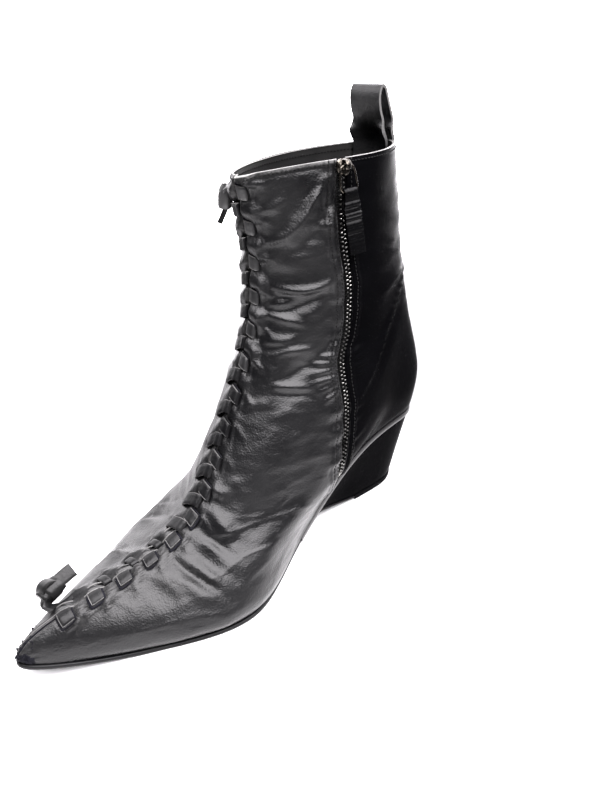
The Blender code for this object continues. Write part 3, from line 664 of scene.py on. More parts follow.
# Upper: rows of its grid as from level, to level and number, then the cells of a row
ROW_RUNS = ((0, 1, 8), (1, 2, 17), (2, 3, 33), (3, 4, 29), (4, 5, 28), (5, 6, 31), (6, 7, 37), (7, 7.8, 27),
            (7.8, 8, 10))
FINE_STEP = 0.75
BACK_COARSE = 30
BACK_FINE = 11
FRONT_FINE = 14
FRONT_COARSE = 92
OUTER_CELLS = 70
# How much the cells tighten towards the front seam
FRONT_EASE = 0.45
OUTER_EASE = 0.38
SLOT_COLUMN = BACK_COARSE + BACK_FINE + 1
# Places in the list of finishes of the inner rear panel's leather (a darker, nearly glossless copy of the
# upper's as painted shade), the torn tip's and the polished back's leather
SHADED_QUARTER = 4
TORN = 5
GLOSSY = 6
# Columns on each side of the middle of the back that have a polished finish
BACK_GLOSSY = 6


def grid_turns(level):
    """Turns of the grid's columns on the inner side, fine beside the zip, and on the outer side."""
    middle = zip_turn(level)[:, None]
    rate = zip_rate(level)[:, None]
    back_fine = middle - (SLOT_HALF + FINE_STEP * np.arange(BACK_FINE, -1, -1)[None]) / rate
    front_fine = middle + (SLOT_HALF + FINE_STEP * np.arange(FRONT_FINE + 1)[None]) / rate
    back = np.linspace(0, 1, BACK_COARSE + 1)[None, :-1] * back_fine[:, :1]
    ahead = np.linspace(0, 1, FRONT_COARSE + 1)[None, 1:]
    ahead = ahead * (1 + FRONT_EASE - FRONT_EASE * ahead)
    front = front_fine[:, -1:] + (math.pi - front_fine[:, -1:]) * ahead
    inner = np.concatenate([back, back_fine, front_fine, front], axis=1)
    seamward = np.linspace(0, 1, OUTER_CELLS + 1)[None, 1:-1]
    outer = math.pi * (1 - seamward * (1 - OUTER_EASE + OUTER_EASE * seamward)) * np.ones((len(level), 1))
    return inner, outer


CREASE_GAIN = 1.45
# Gathers: height, half width and distance of the near end from the zip
GATHER_HEIGHT = 0.75
GATHER_HALF = 1.35
GATHER_GAP = 4.0


def crease_heights(points, side_of):
    """Heights of the creases and of the gathers at the zip's bend."""
    gathers = []
    for near_level, far_level, far_s in GATHERS:
        start = float(curve(ZIP_PATH, np.array(near_level)))
        start += math.copysign(GATHER_GAP, far_s - start)
        gathers.append((GATHER_HEIGHT, GATHER_HALF, ((near_level, start), (far_level, far_s))))
    total = np.zeros(points.shape[:2])
    for side, rows in ((INNER, (*CREASES[INNER], *gathers)), (OUTER, CREASES[OUTER])):
        near = side_of == side
        for height, half, stops in rows:
            stops = through(stops, 30)
            line = spot(stops[:, 0], turn_at(stops[:, 0], stops[:, 1]), side)
            apart = np.linalg.norm(points[near][:, None] - line[None], axis=2)
            share = np.argmin(apart, axis=1) / (len(line) - 1)
            fade = np.sin(math.pi * np.clip(0.04 + 0.92 * share, 0, 1)) ** 0.7
            total[near] += CREASE_GAIN * height * fade * bump(apart.min(axis=1), 0, half)
    return total


# Stretches along the seam: end of the vamp, where the leather covers the bands, and upper shaft
VAMP_END = (100, 150)
BAND_COVER = (168, 204)
HIGH_SHAFT = (160, 205)
# Values before and after such a stretch: length of the pieces, share of a band beyond the seam, and depth of
# the inner pieces
LACE_LENGTHS = (0.95, 0.73)
BAND_SHOWN = (0.56, 0.14)
LACE_DEPTHS = (0.0, 0.5)
ROW_NUMBER = np.linspace(-1, LACE_PIECES, 8 * (LACE_PIECES + 1) + 1)
ROW_REACH = LACE_FIRST + LACE_PITCH * ROW_NUMBER - curve(LACE_DRAW, ROW_NUMBER)


def eased(values, stretch, at):
    """Change from one value to another over a stretch."""
    return values[0] + (values[1] - values[0]) * smooth(*stretch, at)


def lace_slant(reach):
    """Slope of a strap piece down from the seam."""
    return np.interp(reach, *np.transpose(LACE_SLOPES))


def lace_sunk(middle):
    """How much deeper the inner pieces lie between the full leather high on the shaft."""
    return eased(LACE_DEPTHS, HIGH_SHAFT, middle)


def lace_cross(middle):
    """Share of a band's length beyond the seam, which the leather covers higher up."""
    return eased(BAND_SHOWN, BAND_COVER, middle)


def lace_short(middle):
    """Length of the pieces as a share: those on the shaft are a little shorter."""
    return eased(LACE_LENGTHS, VAMP_END, middle)


def lace_phase(reach, away, side_of):
    """Share of a row's pitch from the middle of the nearest strap piece of that side."""
    row = np.interp(reach + lace_slant(reach) * away, ROW_REACH, ROW_NUMBER)
    row = row + np.where(side_of == INNER, 0, 0.5)
    return row - np.round(row)


# Leather between the strap pieces: height, less on the lower shaft, more on the upper shaft on the inner and
# the outer side, and depth under a piece; then the lip at a piece's end and the fold that runs out from it
PUFF_HEIGHT = 2.7
PUFF_LESS = 1.3
PUFF_MORE = (1.5, 0.9)
PUFF_DRAWN = 0.8
LIP_HEIGHT = 1.1
FOLD_HEIGHT = 0.8
SEAM_DEPTH = 1.3
TOE_SEAM_DEPTH = 1.0
TOE_SEAM_WELT = 0.4


def seam_heights(reach, away, side_of):
    """Leather drawn in under each strap piece, puffed up between them, and split along the seam."""
    last = LACE_FIRST + LACE_PITCH * (LACE_PIECES - 1)
    laced = smooth(LACE_FIRST - 9, LACE_FIRST - 3, reach) * (1 - smooth(last + 5, last + 9, reach))
    bare = (1 - laced) * smooth(3, 7, reach)
    phase = lace_phase(reach, away, side_of)
    swell = (0.5 - 0.5 * np.cos(2 * math.pi * phase)) ** 0.9
    across = smooth(0.2, 1.8, away) * (1 - smooth(5.0, 10.5, away))
    low_shaft = smooth(88, 104, reach) * (1 - smooth(160, 185, reach))
    full = PUFF_HEIGHT - PUFF_LESS * low_shaft
    full = full + np.where(side_of == INNER, *PUFF_MORE) * smooth(*HIGH_SHAFT, reach)
    puff = across * (full * swell - PUFF_DRAWN)
    lip = LIP_HEIGHT * bump(away, lace_short(reach) * LACE_REACH + 1.5, 1.1) * bump(phase, 0.05, 0.2)
    fold = FOLD_HEIGHT * bump(phase, 0.27, 0.09) * smooth(5, 7, away) * (1 - smooth(9, 15, away))
    toe = TOE_SEAM_WELT * bump(away, 1.7, 0.8) - TOE_SEAM_DEPTH * bump(away, 0, 0.7)
    return laced * (puff + lip + fold - SEAM_DEPTH * bump(away, 0, 0.8)) + bare * toe


# Sewn edges of the zip's slit: width in front and behind, height, and places of the stitch rows
WELT_WIDE = (8.6, 6.0)
WELT_HEIGHT = 0.55
STITCHED_AT = 4.2
FRONT_STITCHED_AT = 7.3
PUCKER_HEIGHT = 1.1
PUCKER_LENGTH = 4.4


def zip_heights(beside, level, run):
    """Folded and sewn edges of the slit, with small puckers along them."""
    away = np.abs(beside)
    front = beside > 0
    wide = np.where(front, *WELT_WIDE)
    there = smooth(ZIP_FOOT - 0.25, ZIP_FOOT + 0.1, level)
    welt = WELT_HEIGHT * (1 - smooth(wide, wide + 1.6, away)) - 0.9 * bump(away, SLOT_HALF, 0.7)
    rows = bump(away, STITCHED_AT, 0.55) + np.where(front, bump(away, FRONT_STITCHED_AT, 0.55), 0)
    edge = np.where(front, 7.7, 3.3)
    wave = [noise.noise((r / PUCKER_LENGTH, b, 0.0)) for r, b in zip(run.ravel(), edge.ravel())]
    pucker = PUCKER_HEIGHT * np.array(wave).reshape(run.shape) * bump(away, 6.5, 5.0)
    return there * (welt - 0.3 * rows + pucker)


def rolling(points, size, stretch=(1, 1, 1)):
    """Soft noise over the surface."""
    scaled = (points * np.array(stretch) / size).reshape(-1, 3)
    return np.array([noise.noise(p) for p in scaled]).reshape(points.shape[:2])


def wrinkles(points, size, stretch):
    """Thin ridges along the lines where the soft noise changes sign."""
    return np.clip(1 - 4 * np.abs(rolling(points, size, stretch)), 0, 1) ** 2


# Leather that the heel's counter and the toe's puff keep stiff, as ranges of s and of levels, and where the
# torn leather starts
COUNTER_END = (52, 88)
COUNTER_TOP = (4.3, 5.4)
TOE_PUFF = (206, 232)
TORN_FROM = (252, 259)
# Soft noise: height, size and stretch of the broad, middle, small and vamp's waves and of the wrinkles
BROAD_ROLL = (0.9, 27.0, (1, 1, 1))
MIDDLE_ROLL = (0.5, 8.0, (0.45, 0.45, 1.0))
SMALL_ROLL = (0.25, 4.2, (0.4, 0.4, 1.0))
VAMP_ROLL = (0.4, 5.5, (1.0, 0.55, 0.7))
WRINKLES = (0.4, 10.0, (0.3, 0.3, 1.0))
# Share of the paler grey over the vamp, which is painted sheen
VAMP_PAINTED_SHEEN = 0.17


def soft_heights(points, s, levels, below):
    """Waves and wrinkles of the leather where nothing keeps it stiff."""
    counter = (1 - smooth(*COUNTER_END, s)) * (1 - smooth(*COUNTER_TOP, levels))
    soft = (1 - 0.85 * counter) * (1 - 0.8 * smooth(*TOE_PUFF, s))
    under_rim = soft * smooth(2, 14, below)
    vamp = smooth(140, 156, s) * (1 - smooth(200, 222, s)) * smooth(1.2, 1.8, levels)
    lively = under_rim * smooth(84, 100, s) * (1 - 0.7 * bump(levels, 4.0, 0.7))
    total = lively * WRINKLES[0] * wrinkles(points, *WRINKLES[1:])
    for share, (height, *form) in ((soft, BROAD_ROLL), (soft, MIDDLE_ROLL), (under_rim, SMALL_ROLL),
                                   (vamp, VAMP_ROLL)):
        total += share * height * rolling(points, *form)
    return total


def upper_shape():
    """Grids of the upper, its cells and their finishes, the mark for the paler grey (scuffed edges and
    painted sheen over the vamp) and outward directions.
    """
    level = [np.linspace(a, b, n, endpoint=False) for a, b, n in ROW_RUNS]
    level = np.concatenate([*level, [float(TOP_LEVEL)]])
    inner_turn, outer_turn = grid_turns(level)
    points = np.concatenate([skin(level, inner_turn, INNER), skin(level, outer_turn, OUTER)], axis=1)
    rows, cols = points.shape[:2]
    count = inner_turn.shape[1]
    side_of = np.where(np.arange(cols)[None] < count, INNER, OUTER) * np.ones((rows, 1), int)
    around = np.roll(points, -1, axis=1) - np.roll(points, 1, axis=1)
    out = unit(np.cross(np.gradient(points, axis=0), around))
    s = HEEL_REST - points[..., 0]
    levels = level[:, None] * np.ones((1, cols))
    beside = np.full((rows, cols), 99.0)
    beside[:, :count] = (inner_turn - zip_turn(level)[:, None]) * zip_rate(level)[:, None]
    zip_run = reaches(spot(level, zip_turn(level), INNER))
    apart = np.linalg.norm(points.reshape(-1, 1, 3) - RIDGE_POINTS[None], axis=2)
    away = apart.min(axis=1).reshape(rows, cols)
    reach = RIDGE_REACH[np.argmin(apart, axis=1)].reshape(rows, cols)
    below = reaches(points[::-1])[::-1]

    torn = smooth(*TORN_FROM, s) * (1 - smooth(0.6, 2.2, levels))
    height = crease_heights(points, side_of) + soft_heights(points, s, levels, below)
    height += seam_heights(reach, away, side_of)
    height += zip_heights(beside, levels, zip_run[:, None] * np.ones((1, cols)))
    height += 0.8 * torn * rolling(points, 1.7)
    height -= 0.3 * bump(below, 2.4, 0.8) + 0.35 * bump(below, 0, 0.8)
    height *= smooth(0.0, 0.8, levels)

    outside = points + height[..., None] * out
    inside = points + (0.5 * height - WALL)[..., None] * out
    inside[0, :, 2] = np.maximum(inside[0, :, 2], points[0, :, 2])
    mask = np.ones((rows - 1, cols), bool)
    mask[np.searchsorted(level, ZIP_FOOT - 1e-6):, SLOT_COLUMN - 1] = False
    paint = np.zeros(mask.shape, int)
    # The inner rear panel behind the zip gets the darker copy, painted shade
    paint[:, :SLOT_COLUMN - 1] = SHADED_QUARTER
    paint[:, :BACK_GLOSSY] = GLOSSY
    paint[:, -BACK_GLOSSY:] = GLOSSY
    ragged = torn * (1 + 0.9 * rolling(points, 3.2))
    paint[ragged[:-1] > 0.85] = TORN
    edges = np.clip(0.5 * bump(away, 0.8, 0.8) * smooth(3, 8, reach) + 0.6 * bump(below, 0, 1.2), 0, 1)
    # Painted sheen: the paler grey laid over the upper vamp on the inner side
    vamp = smooth(172, 196, s) * (1 - smooth(234, 250, s)) * smooth(1.5, 2.3, levels) * (side_of == INNER)
    return outside, inside, mask, paint, np.maximum(edges, VAMP_PAINTED_SHEEN * vamp), out


OUTSIDE, INSIDE, UPPER_MASK, UPPER_PAINT, UPPER_WEAR_AND_SHEEN, UPPER_OUT = upper_shape()
UPPER_FINISHES = [UPPER_LEATHER, LINING, CUT_EDGE_AND_HIGHLIGHT, UPPER_LEATHER, QUARTER_SHADED_LEATHER, TORN_AND_SHADOW_LEATHER,
                  BACK_LEATHER]
upper_made = shell(OUTSIDE, INSIDE, UPPER_MASK, True, UPPER_PAINT)
upper = piece("upper_leather_shell", upper_made, UPPER_FINISHES)
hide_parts("upper")
# Mark for the paler grey on the upper: scuffed edges and painted sheen over the vamp
wear_and_sheen_mark = upper.data.attributes.new("wear_and_sheen", "FLOAT", "POINT")
all_wear_and_sheen = np.concatenate([UPPER_WEAR_AND_SHEEN.ravel(), np.zeros(UPPER_WEAR_AND_SHEEN.size)])[:len(upper.data.vertices)]
wear_and_sheen_mark.data.foreach_set("value", all_wear_and_sheen.astype(np.float32))


def round_zip(grid, row):
    """A row of the upper's grid from the zip's front round to its back."""
    return np.roll(grid[row], -SLOT_COLUMN, axis=0)


# Collar's cut edge: pale grey on the inner side, partly the edge's own colour and partly painted highlight,
# and a darker grey on the outer side as painted shade on the far rim
RIM_TURN = 4.0
RIM_FACING = round_zip(UPPER_OUT, -1)
rim_path = round_zip(OUTSIDE, -1) - 0.4 * RIM_FACING + np.array([0, 0, 0.05])
rim_ends = np.flatnonzero(np.diff((rim_path[:, 1] < RIM_TURN).astype(int))) + 1
for part, finish in zip(np.split(np.arange(len(rim_path)), rim_ends), (CUT_EDGE_AND_HIGHLIGHT, EDGE_AND_HIGHLIGHT_GREY, CUT_EDGE_AND_HIGHLIGHT)):
    edge = swept(rim_path[part], RIM_FACING[part], 0.36, 0.28)
    piece("collar_edge_%d" % part[0], edge, [finish])

# Stitches: a row under the collar, one in its lining, two in front of the zip and one behind it
COLLAR_STITCH_ROW = -3
LINING_STITCH_ROW = -5
ZIP_STITCH_COLUMNS = (2, 6, -4)
thread_rows = [stitches(round_zip(OUTSIDE, COLLAR_STITCH_ROW), round_zip(UPPER_OUT, COLLAR_STITCH_ROW)),
               stitches(round_zip(INSIDE, LINING_STITCH_ROW), -round_zip(UPPER_OUT, LINING_STITCH_ROW))]
first_row = int(np.argmin(UPPER_MASK[:, SLOT_COLUMN - 1]))
for step in ZIP_STITCH_COLUMNS:
    column = SLOT_COLUMN + step
    thread_rows.append(stitches(OUTSIDE[first_row:, column], UPPER_OUT[first_row:, column]))
piece("upper_stitching", joined(thread_rows), [THREAD])

# Lace: strap pieces that come up through the seam and go down into a slit
LACE_THICK = 1.3
LACE_HALF = 3.1
# Places along the seam where the vamp turns up into the shaft, and up to which inner pieces are dull
LACE_TURN = 90.0
LACE_DULL = 165.0
# Height of a strap piece's underside over the leather, by the distance from the seam
LACE_LIFT = {
    "short": ((0, -0.9), (0.6, 0.6), (1.3, 1.0), (2.8, 1.15), (4.6, 1.05), (5.7, 0.75), (6.5, 0.0),
              (7.5, -1.6)),
    "low": ((0, -1.2), (0.6, 0.0), (1.3, 0.4), (2.8, 0.6), (4.6, 0.5), (5.7, 0.3), (6.5, -0.3), (7.5, -1.7)),
    "band": ((-7.4, -0.6), (-6.4, 1.2), (-5.0, 2.0), (-2.5, 2.2), (0, 1.9), (1.6, 1.9), (4.0, 1.8),
             (5.7, 1.1), (6.5, 0.1), (7.5, -1.6)),
}
SEAM_STEPS = (0.0, 0.4, 0.9, 1.6, 2.4, 3.3, 4.2, 5.0, 5.6, 6.1, 6.5, 7.0, 7.5)
BAND_STEPS = (-7.4, -6.9, -6.4, -5.8, -5.0, -3.8, -2.5, -1.2, 0.0, 1.2, 2.4, 3.6, 4.8, 5.6, 6.1, 6.5,
              7.0, 7.5)
LACE_STEPS = {"short": SEAM_STEPS, "low": SEAM_STEPS, "band": BAND_STEPS}
LACE_SHARE = {"short": 1.0, "low": 0.6, "band": 1.0}


def lace_rows(side):
    """Middle of each strap piece along the seam; those of the outer side lie half a row further up."""
    row = np.arange(LACE_PIECES) if side == INNER else np.arange(1, LACE_PIECES - 1) + 0.5
    return LACE_FIRST + LACE_PITCH * row - curve(LACE_DRAW, row)


def lace_runs():
    """Side, kind and middles of the strap pieces; on the shaft the outer ones are bands over the seam."""
    outer = lace_rows(OUTER)
    return ((INNER, "short", lace_rows(INNER)), (OUTER, "low", outer[outer < LACE_TURN]),
            (OUTER, "band", outer[outer >= LACE_TURN]))


def beside_seam(rows, away, side):
    """Points and normals at places along the seam and distances from it, which may lie beyond it."""
    point, out = walk(rows, np.maximum(away, 0), side)
    over = away < 0
    if over.any():
        point[over], out[over] = walk(rows[over], -away[over], -side)
    return point, out


def lace_shapes(side, kind, middle):
    lift = curve(LACE_LIFT[kind], np.array(LACE_STEPS[kind]))
    sunk = lace_sunk(middle)[:, None, None] * (kind == "short")
    across = np.linspace(-1, 1, 9)
    crown = 1 - 0.2 * np.abs(across) ** 6
    top = np.zeros((len(middle), len(lift), len(across), 3))
    low = np.zeros_like(top)
    for i, step in enumerate(LACE_STEPS[kind]):
        away = lace_short(middle) * (step if step > 0 else step * lace_cross(middle))
        row = middle - lace_slant(middle) * np.maximum(away, 0)
        row = row[:, None] + LACE_SHARE[kind] * LACE_HALF * across
        away = np.broadcast_to(away[:, None], row.shape)
        point, out = (v.reshape(row.shape + (3,)) for v in beside_seam(row.ravel(), away.ravel(), side))
        top[:, i] = point + (lift[i] + (LACE_THICK * crown)[None, :, None] - sunk) * out
        low[:, i] = point + (lift[i] - sunk) * out
    return [shell(t, b) if side == OUTER else shell(t[:, ::-1], b[:, ::-1]) for t, b in zip(top, low)]


def edge_line(rows, away, side, rise):
    """Lines over the surface, one for each row of places along the seam and distances from it."""
    rows = np.asarray(rows, float)
    away = np.broadcast_to(away, rows.shape)
    point, out = (v.reshape(rows.shape + (3,)) for v in beside_seam(rows.ravel(), away.ravel(), side))
    return point + np.broadcast_to(rise, rows.shape)[..., None] * out, out


def cords(found, half_wide, half_thick, sides=6):
    """Thin cords along sets of lines."""
    pairs = [pair for lines, outs in found for pair in zip(lines, outs)]
    return [swept(line, out, half_wide, half_thick, sides) for line, out in pairs]


# Leather edges over the vamp's strap pieces: shift up the seam, distance from it at the lower and upper end
LIPS = ((0.0, -0.4, 0.9), (0.8, -3.6, -2.2))
LIP_HALF = 0.3
SLIT_HALF = 0.38
SLIT_DEEP = 0.5
SLIT_GAP = 0.45
PIPING_HALF = 0.15


def lip_shapes():
    """Pale raised leather edges along the seam over the strap pieces of the vamp; their pale grey is partly
    the edges' own colour and partly painted highlight.
    """
    share = np.linspace(0, 1, 12)
    rise = 0.7 + 1.3 * np.sin(math.pi * share)
    rows = lace_rows(INNER)
    middle = rows[rows < LACE_TURN][:, None]
    found = []
    for shift, first, last in LIPS:
        places = middle + shift + (LACE_HALF + 1.5) * (2 * share - 1)
        found.append(edge_line(places, first + (last - first) * share, INNER, rise))
    return cords(found, LIP_HALF, LIP_HALF, 8)


def slit_shapes():
    """Dark cords as painted shadow in the slits at the ends of the strap pieces and along their edges."""
    share = np.linspace(-1, 1, 9)
    middle = lace_rows(INNER)[:, None]
    short = lace_short(middle)
    slant = lace_slant(middle)
    end = short * (LACE_REACH + 0.4)
    low = middle[:, 0] < LACE_TURN + LACE_PITCH
    rows = middle + (LACE_HALF + 0.8) * share - slant * end
    step = short * (0.8 + (LACE_REACH - 0.4) * (0.5 + 0.5 * share))
    lower = middle - LACE_HALF - SLIT_GAP - slant * step
    upper = middle + LACE_HALF + SLIT_GAP - slant * step
    found = (edge_line(rows[low], np.broadcast_to(end, rows.shape)[low], INNER, 0.6),
             edge_line(lower[low], step[low], INNER, 0.95), edge_line(upper, step, INNER, 0.95))
    return cords(found, SLIT_HALF, SLIT_DEEP)


def piping_shapes(side, kind, middle):
    """Pale cords along the sides of the strap pieces, and at the lower end of those on the vamp: partly the
    cut edges' own colour and partly painted highlight.
    """
    share = np.linspace(0, 1, 12)
    middle = middle[:, None]
    short = lace_short(middle)
    slant = lace_slant(middle)
    first = LACE_STEPS[kind][2]
    step = first + (LACE_REACH - 0.4 - first) * share
    rise = curve(LACE_LIFT[kind], step) + LACE_THICK * 0.84 - lace_sunk(middle) * (kind == "short")
    away = short * np.where(step > 0, step, step * lace_cross(middle))
    found = []
    for edge in (-1, 1) if kind == "short" else (1,):
        rows = middle + edge * (LACE_HALF - 0.1) - slant * np.maximum(away, 0)
        pale = (middle[:, 0] >= LACE_TURN) | (edge < 0)
        found.append(edge_line(rows[pale], away[pale], side, rise[pale]))
    end = LACE_REACH - 0.35
    low = middle[:, 0] < LACE_TURN + LACE_PITCH
    rows = (middle + (LACE_HALF - 0.3) * (2 * share - 1) - slant * short * end)[low]
    height = float(curve(LACE_LIFT[kind], np.array(end))) + LACE_THICK * 0.9
    found.append(edge_line(rows, end * lace_short(rows), side, height))
    return cords(found, PIPING_HALF, PIPING_HALF)


def strap_kinds(shape):
    """A strap's shell with kind 0 on its faces and 1 on its cut edges."""
    verts, faces, kinds = shape
    return verts, faces, np.where(kinds == 3, 1, 0)


lace_made = []
for side, kind, middles in lace_runs():
    for middle, shape in zip(middles, lace_shapes(side, kind, middles)):
        verts, faces, kinds = strap_kinds(shape)
        dull = kind != "short" or middle < LACE_DULL
        lace_made.append((verts, faces, np.where((kinds == 0) & dull, 2, kinds)))
LACE_FINISHES = [STRAP_LEATHER, EDGE_AND_HIGHLIGHT_GREY, BAND_LEATHER]
lace = piece("lace_straps", joined(lace_made), LACE_FINISHES, sharp=40)
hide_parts("lace")
# Pale cords: partly cut edges and partly painted highlight
lip_made = lip_shapes() + [shape for run in lace_runs() if run[1] != "low" for shape in piping_shapes(*run)]
piece("lace_edges_and_highlights", joined(lip_made), [EDGE_AND_HIGHLIGHT_GREY])
# Dark cords as painted shadow in the slits
piece("slit_painted_shadows", joined(slit_shapes()), [TORN_AND_SHADOW_LEATHER])
# Toe seam: a dark cord in the seam as painted shadow, and a pale cord on the fold beside it as painted
# highlight
toe_reach = np.linspace(3.0, LACE_FIRST - LACE_HALF - 2.0, 40)
toe_seam, toe_out = edge_line(toe_reach, 0.0, INNER, -0.35)
toe_fold_highlight, fold_out = edge_line(toe_reach, 1.0, OUTER, 0.25)
piece("toe_seam_painted_shadow", swept(toe_seam, toe_out, 0.4, 0.4), [TORN_AND_SHADOW_LEATHER])
piece("toe_seam_painted_highlight", swept(toe_fold_highlight, fold_out, 0.25, 0.25), [EDGE_AND_HIGHLIGHT_GREY])

# Knots at both ends of the lace
KNOT_THICK = 1.7
FLAT_STRAP = 0.45


def strap(path, wide, half_wide, thick=KNOT_THICK, square=FLAT_STRAP):
    return swept(path, wide, half_wide, thick / 2, sides=12, square=square)


def knot_shapes(middle, axis, up, radius, turns, width, tail, tail_wide, tail_half, feed,
                tail_thick=KNOT_THICK, slide=0.28, thick=KNOT_THICK, square=FLAT_STRAP):
    """Strap wound on itself round an axis, with a tail out of one end and the lace's end into the other."""
    axis = unit(np.asarray(axis, float))
    up = unit(np.asarray(up, float) - axis * np.dot(up, axis))
    over = np.cross(axis, up)
    angle = np.linspace(-0.2, turns, 34)[:, None] * 2 * math.pi
    grow = np.linspace(0.75, 1.05, len(angle))[:, None]
    slid = np.linspace(-slide, slide, len(angle))[:, None] * width
    wound = middle + slid * axis + radius * grow * (np.cos(angle) * up + np.sin(angle) * over)
    tilt = axis + 0.35 * (np.cos(angle) * over - np.sin(angle) * up)
    bar = np.linspace(-1.15, 1.15, 17)[:, None] * math.pi / 2
    cross_over = middle + radius * 1.25 * (np.cos(bar) * up + 0.85 * np.sin(bar) * axis)
    verts, faces, kinds = strap(through(tail, 16), tail_wide, tail_half, tail_thick)
    return [strap(wound, tilt, width / 2, thick, square), strap(cross_over, over + 0.25 * axis, tail_half),
            (verts, faces, kinds + 1), strap(through(feed, 12), over, tail_half)]


def tail_edges(tail, wide, half):
    """Pale cut edges along both sides of a tail."""
    line = through(tail, 16)
    across = unit(np.asarray(wide, float))
    return [swept(line + side * half * across, across, 0.2, 0.55, sides=8) for side in (-1, 1)]


def from_heel(rows):
    """Places given as distance from the heel's back, sideways and up."""
    return np.array([HEEL_REST, 0, 0]) + np.asarray(rows, float) * (-1, 1, 1)


TOE_TAIL = from_heel(((237.0, 13.5, 27.8), (232.6, 13.7, 29.6), (228.2, 13.6, 31.3), (224.4, 13.3, 32.6)))
TOE_FEED = from_heel(((237.5, 13.2, 26.9), (240.5, 10.5, 25.8), (241.0, 6.0, 26.0), (239.5, 2.5, 26.4)))
TOE_TAIL_WIDE = (0.25, -0.73, -0.64)
TOE_TAIL_HALF = 3.3
toe_knot_made = knot_shapes(from_heel((236.4, 13.0, 27.6)), axis=(0.93, 0.0, 0.36), up=(-0.35, 0.2, 0.9),
                            radius=4.2, turns=1.3, width=7.8, tail=TOE_TAIL, tail_wide=TOE_TAIL_WIDE,
                            tail_half=TOE_TAIL_HALF, feed=TOE_FEED)
toe_knot = piece("toe_knot_strap", joined(toe_knot_made), [TOE_KNOT_LEATHER], sharp=45)
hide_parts("toe_knot")
toe_edges = joined(tail_edges(TOE_TAIL, TOE_TAIL_WIDE, TOE_TAIL_HALF))
piece("toe_knot_edges", toe_edges, [EDGE_AND_HIGHLIGHT_GREY])

TOP_TAIL = from_heel(((120.6, 12.4, 183.2), (121.0, 13.3, 180.2), (122.0, 14.2, 177.3),
                      (123.2, 15.0, 174.4)))
TOP_FEED = from_heel(((122.0, 11.0, 189.4), (122.4, 9.6, 190.4), (122.0, 7.4, 190.8), (121.2, 4.8, 190.6)))
top_knot_made = knot_shapes(from_heel((121.4, 11.6, 186.6)), axis=(-0.1, 0.1, -1.0), up=(-0.75, 0.65, 0.1),
                            radius=2.3, turns=1.1, width=10.6, tail=TOP_TAIL, tail_wide=(0.72, 0.69, 0.0),
                            tail_half=2.6, feed=TOP_FEED, tail_thick=2.5, slide=0.06, thick=2.8, square=0.8)
TOP_KNOT_FINISHES = [TOP_KNOT_SHEEN_LEATHER, TOE_KNOT_LEATHER]
top_knot = piece("top_knot_strap", joined(top_knot_made), TOP_KNOT_FINISHES, sharp=45)
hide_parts("top_knot")


# Zip
def zip_frame(level):
    """Points on the zip's line with directions forward, down and outward."""
    level = np.atleast_1d(np.asarray(level, float))
    e = 0.05
    point = spot(level, zip_turn(level), INNER)
    out = facing(level, zip_turn(level), INNER)
    down = spot(level - e, zip_turn(level - e), INNER) - spot(level + e, zip_turn(level + e), INNER)
    down = unit(down - out * np.einsum("ij,ij->i", down, out)[:, None])
    return point, np.cross(down, out), down, out


TOOTH_PITCH = 2.1
TOOTH_SIZE = (1.2, 0.78, 1.2)
TOOTH_SHIFT = 0.85
# Rounded top of a tooth: share of its height and of its size
TOOTH_DOME = ((0.0, 1.0), (0.62, 1.0), (0.86, 0.8), (1.0, 0.42))
TOOTH_ROOT = 0.9
TOOTH_CORNERS = ((-1, -1), (1, -1), (1, 1), (-1, 1))
# Level of the upper end of the tape and of the back seam, and level of the last teeth
TAPE_TOP = 7.98
TEETH_TOP = 7.88
# Woven cords beside the teeth: distance from the middle, and where the plain tape starts
TAPE_CORD = 1.3
TAPE_PLAIN = 1.6
TAPE_THICK = 0.8


def zip_tape_shape():
    level = np.linspace(ZIP_FOOT + 0.03, TAPE_TOP, 96)
    wing = np.linspace(TAPE_PLAIN, TAPE_HALF, 6)
    offsets = np.concatenate([-wing[::-1], [-1.1, 0.0, 1.1], wing])
    rate = zip_rate(level)
    grids = []
    for depth in (TAPE_DEPTH, TAPE_DEPTH + TAPE_THICK):
        columns = []
        for offset in offsets:
            turn = zip_turn(level) + offset / rate
            cord = 0.5 * float(bump(abs(offset), TAPE_CORD, 0.5))
            columns.append(spot(level, turn, INNER) - (depth + 0.7 - cord) * facing(level, turn, INNER))
        grids.append(np.stack(columns, axis=1))
    return shell(grids[0], grids[1])


def teeth_shape():
    point, fore, down, out = zip_frame(np.linspace(ZIP_FOOT + 0.06, TEETH_TOP, 420))
    wide, tall, high = TOOTH_SIZE
    shapes = []
    for side in (-1, 1):
        at = along(point, TOOTH_PITCH, 0.25 if side < 0 else 0.75)
        rows = [read(v, at) for v in (point, fore, down, out)]
        for p, f, d, o in zip(*rows):
            middle = p + side * TOOTH_SHIFT * f - TOOTH_ROOT * o
            sections = []
            for lift, share in TOOTH_DOME:
                w = wide / 2 * share
                t = tall / 2 * share
                top = middle + high * lift * o
                sections.append([top + a * w * f + b * t * d for a, b in TOOTH_CORNERS])
            shapes.append(loft(sections))
    return joined(shapes)


tape = piece("zip_tape_woven", zip_tape_shape(), [TAPE])
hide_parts("zip_tape")
teeth = piece("zip_teeth", teeth_shape(), [TOOTH_METAL], sharp=25)
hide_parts("zip_chain")

SLIDER_POINT, SLIDER_FORE, SLIDER_DOWN, SLIDER_OUT = (v[0] for v in zip_frame(SLIDER_LEVEL))


def on_slider(rows):
    """Places given as distances forward, down and outward from the slider's point."""
    return SLIDER_POINT + np.asarray(rows, float) @ np.stack([SLIDER_FORE, SLIDER_DOWN, SLIDER_OUT])


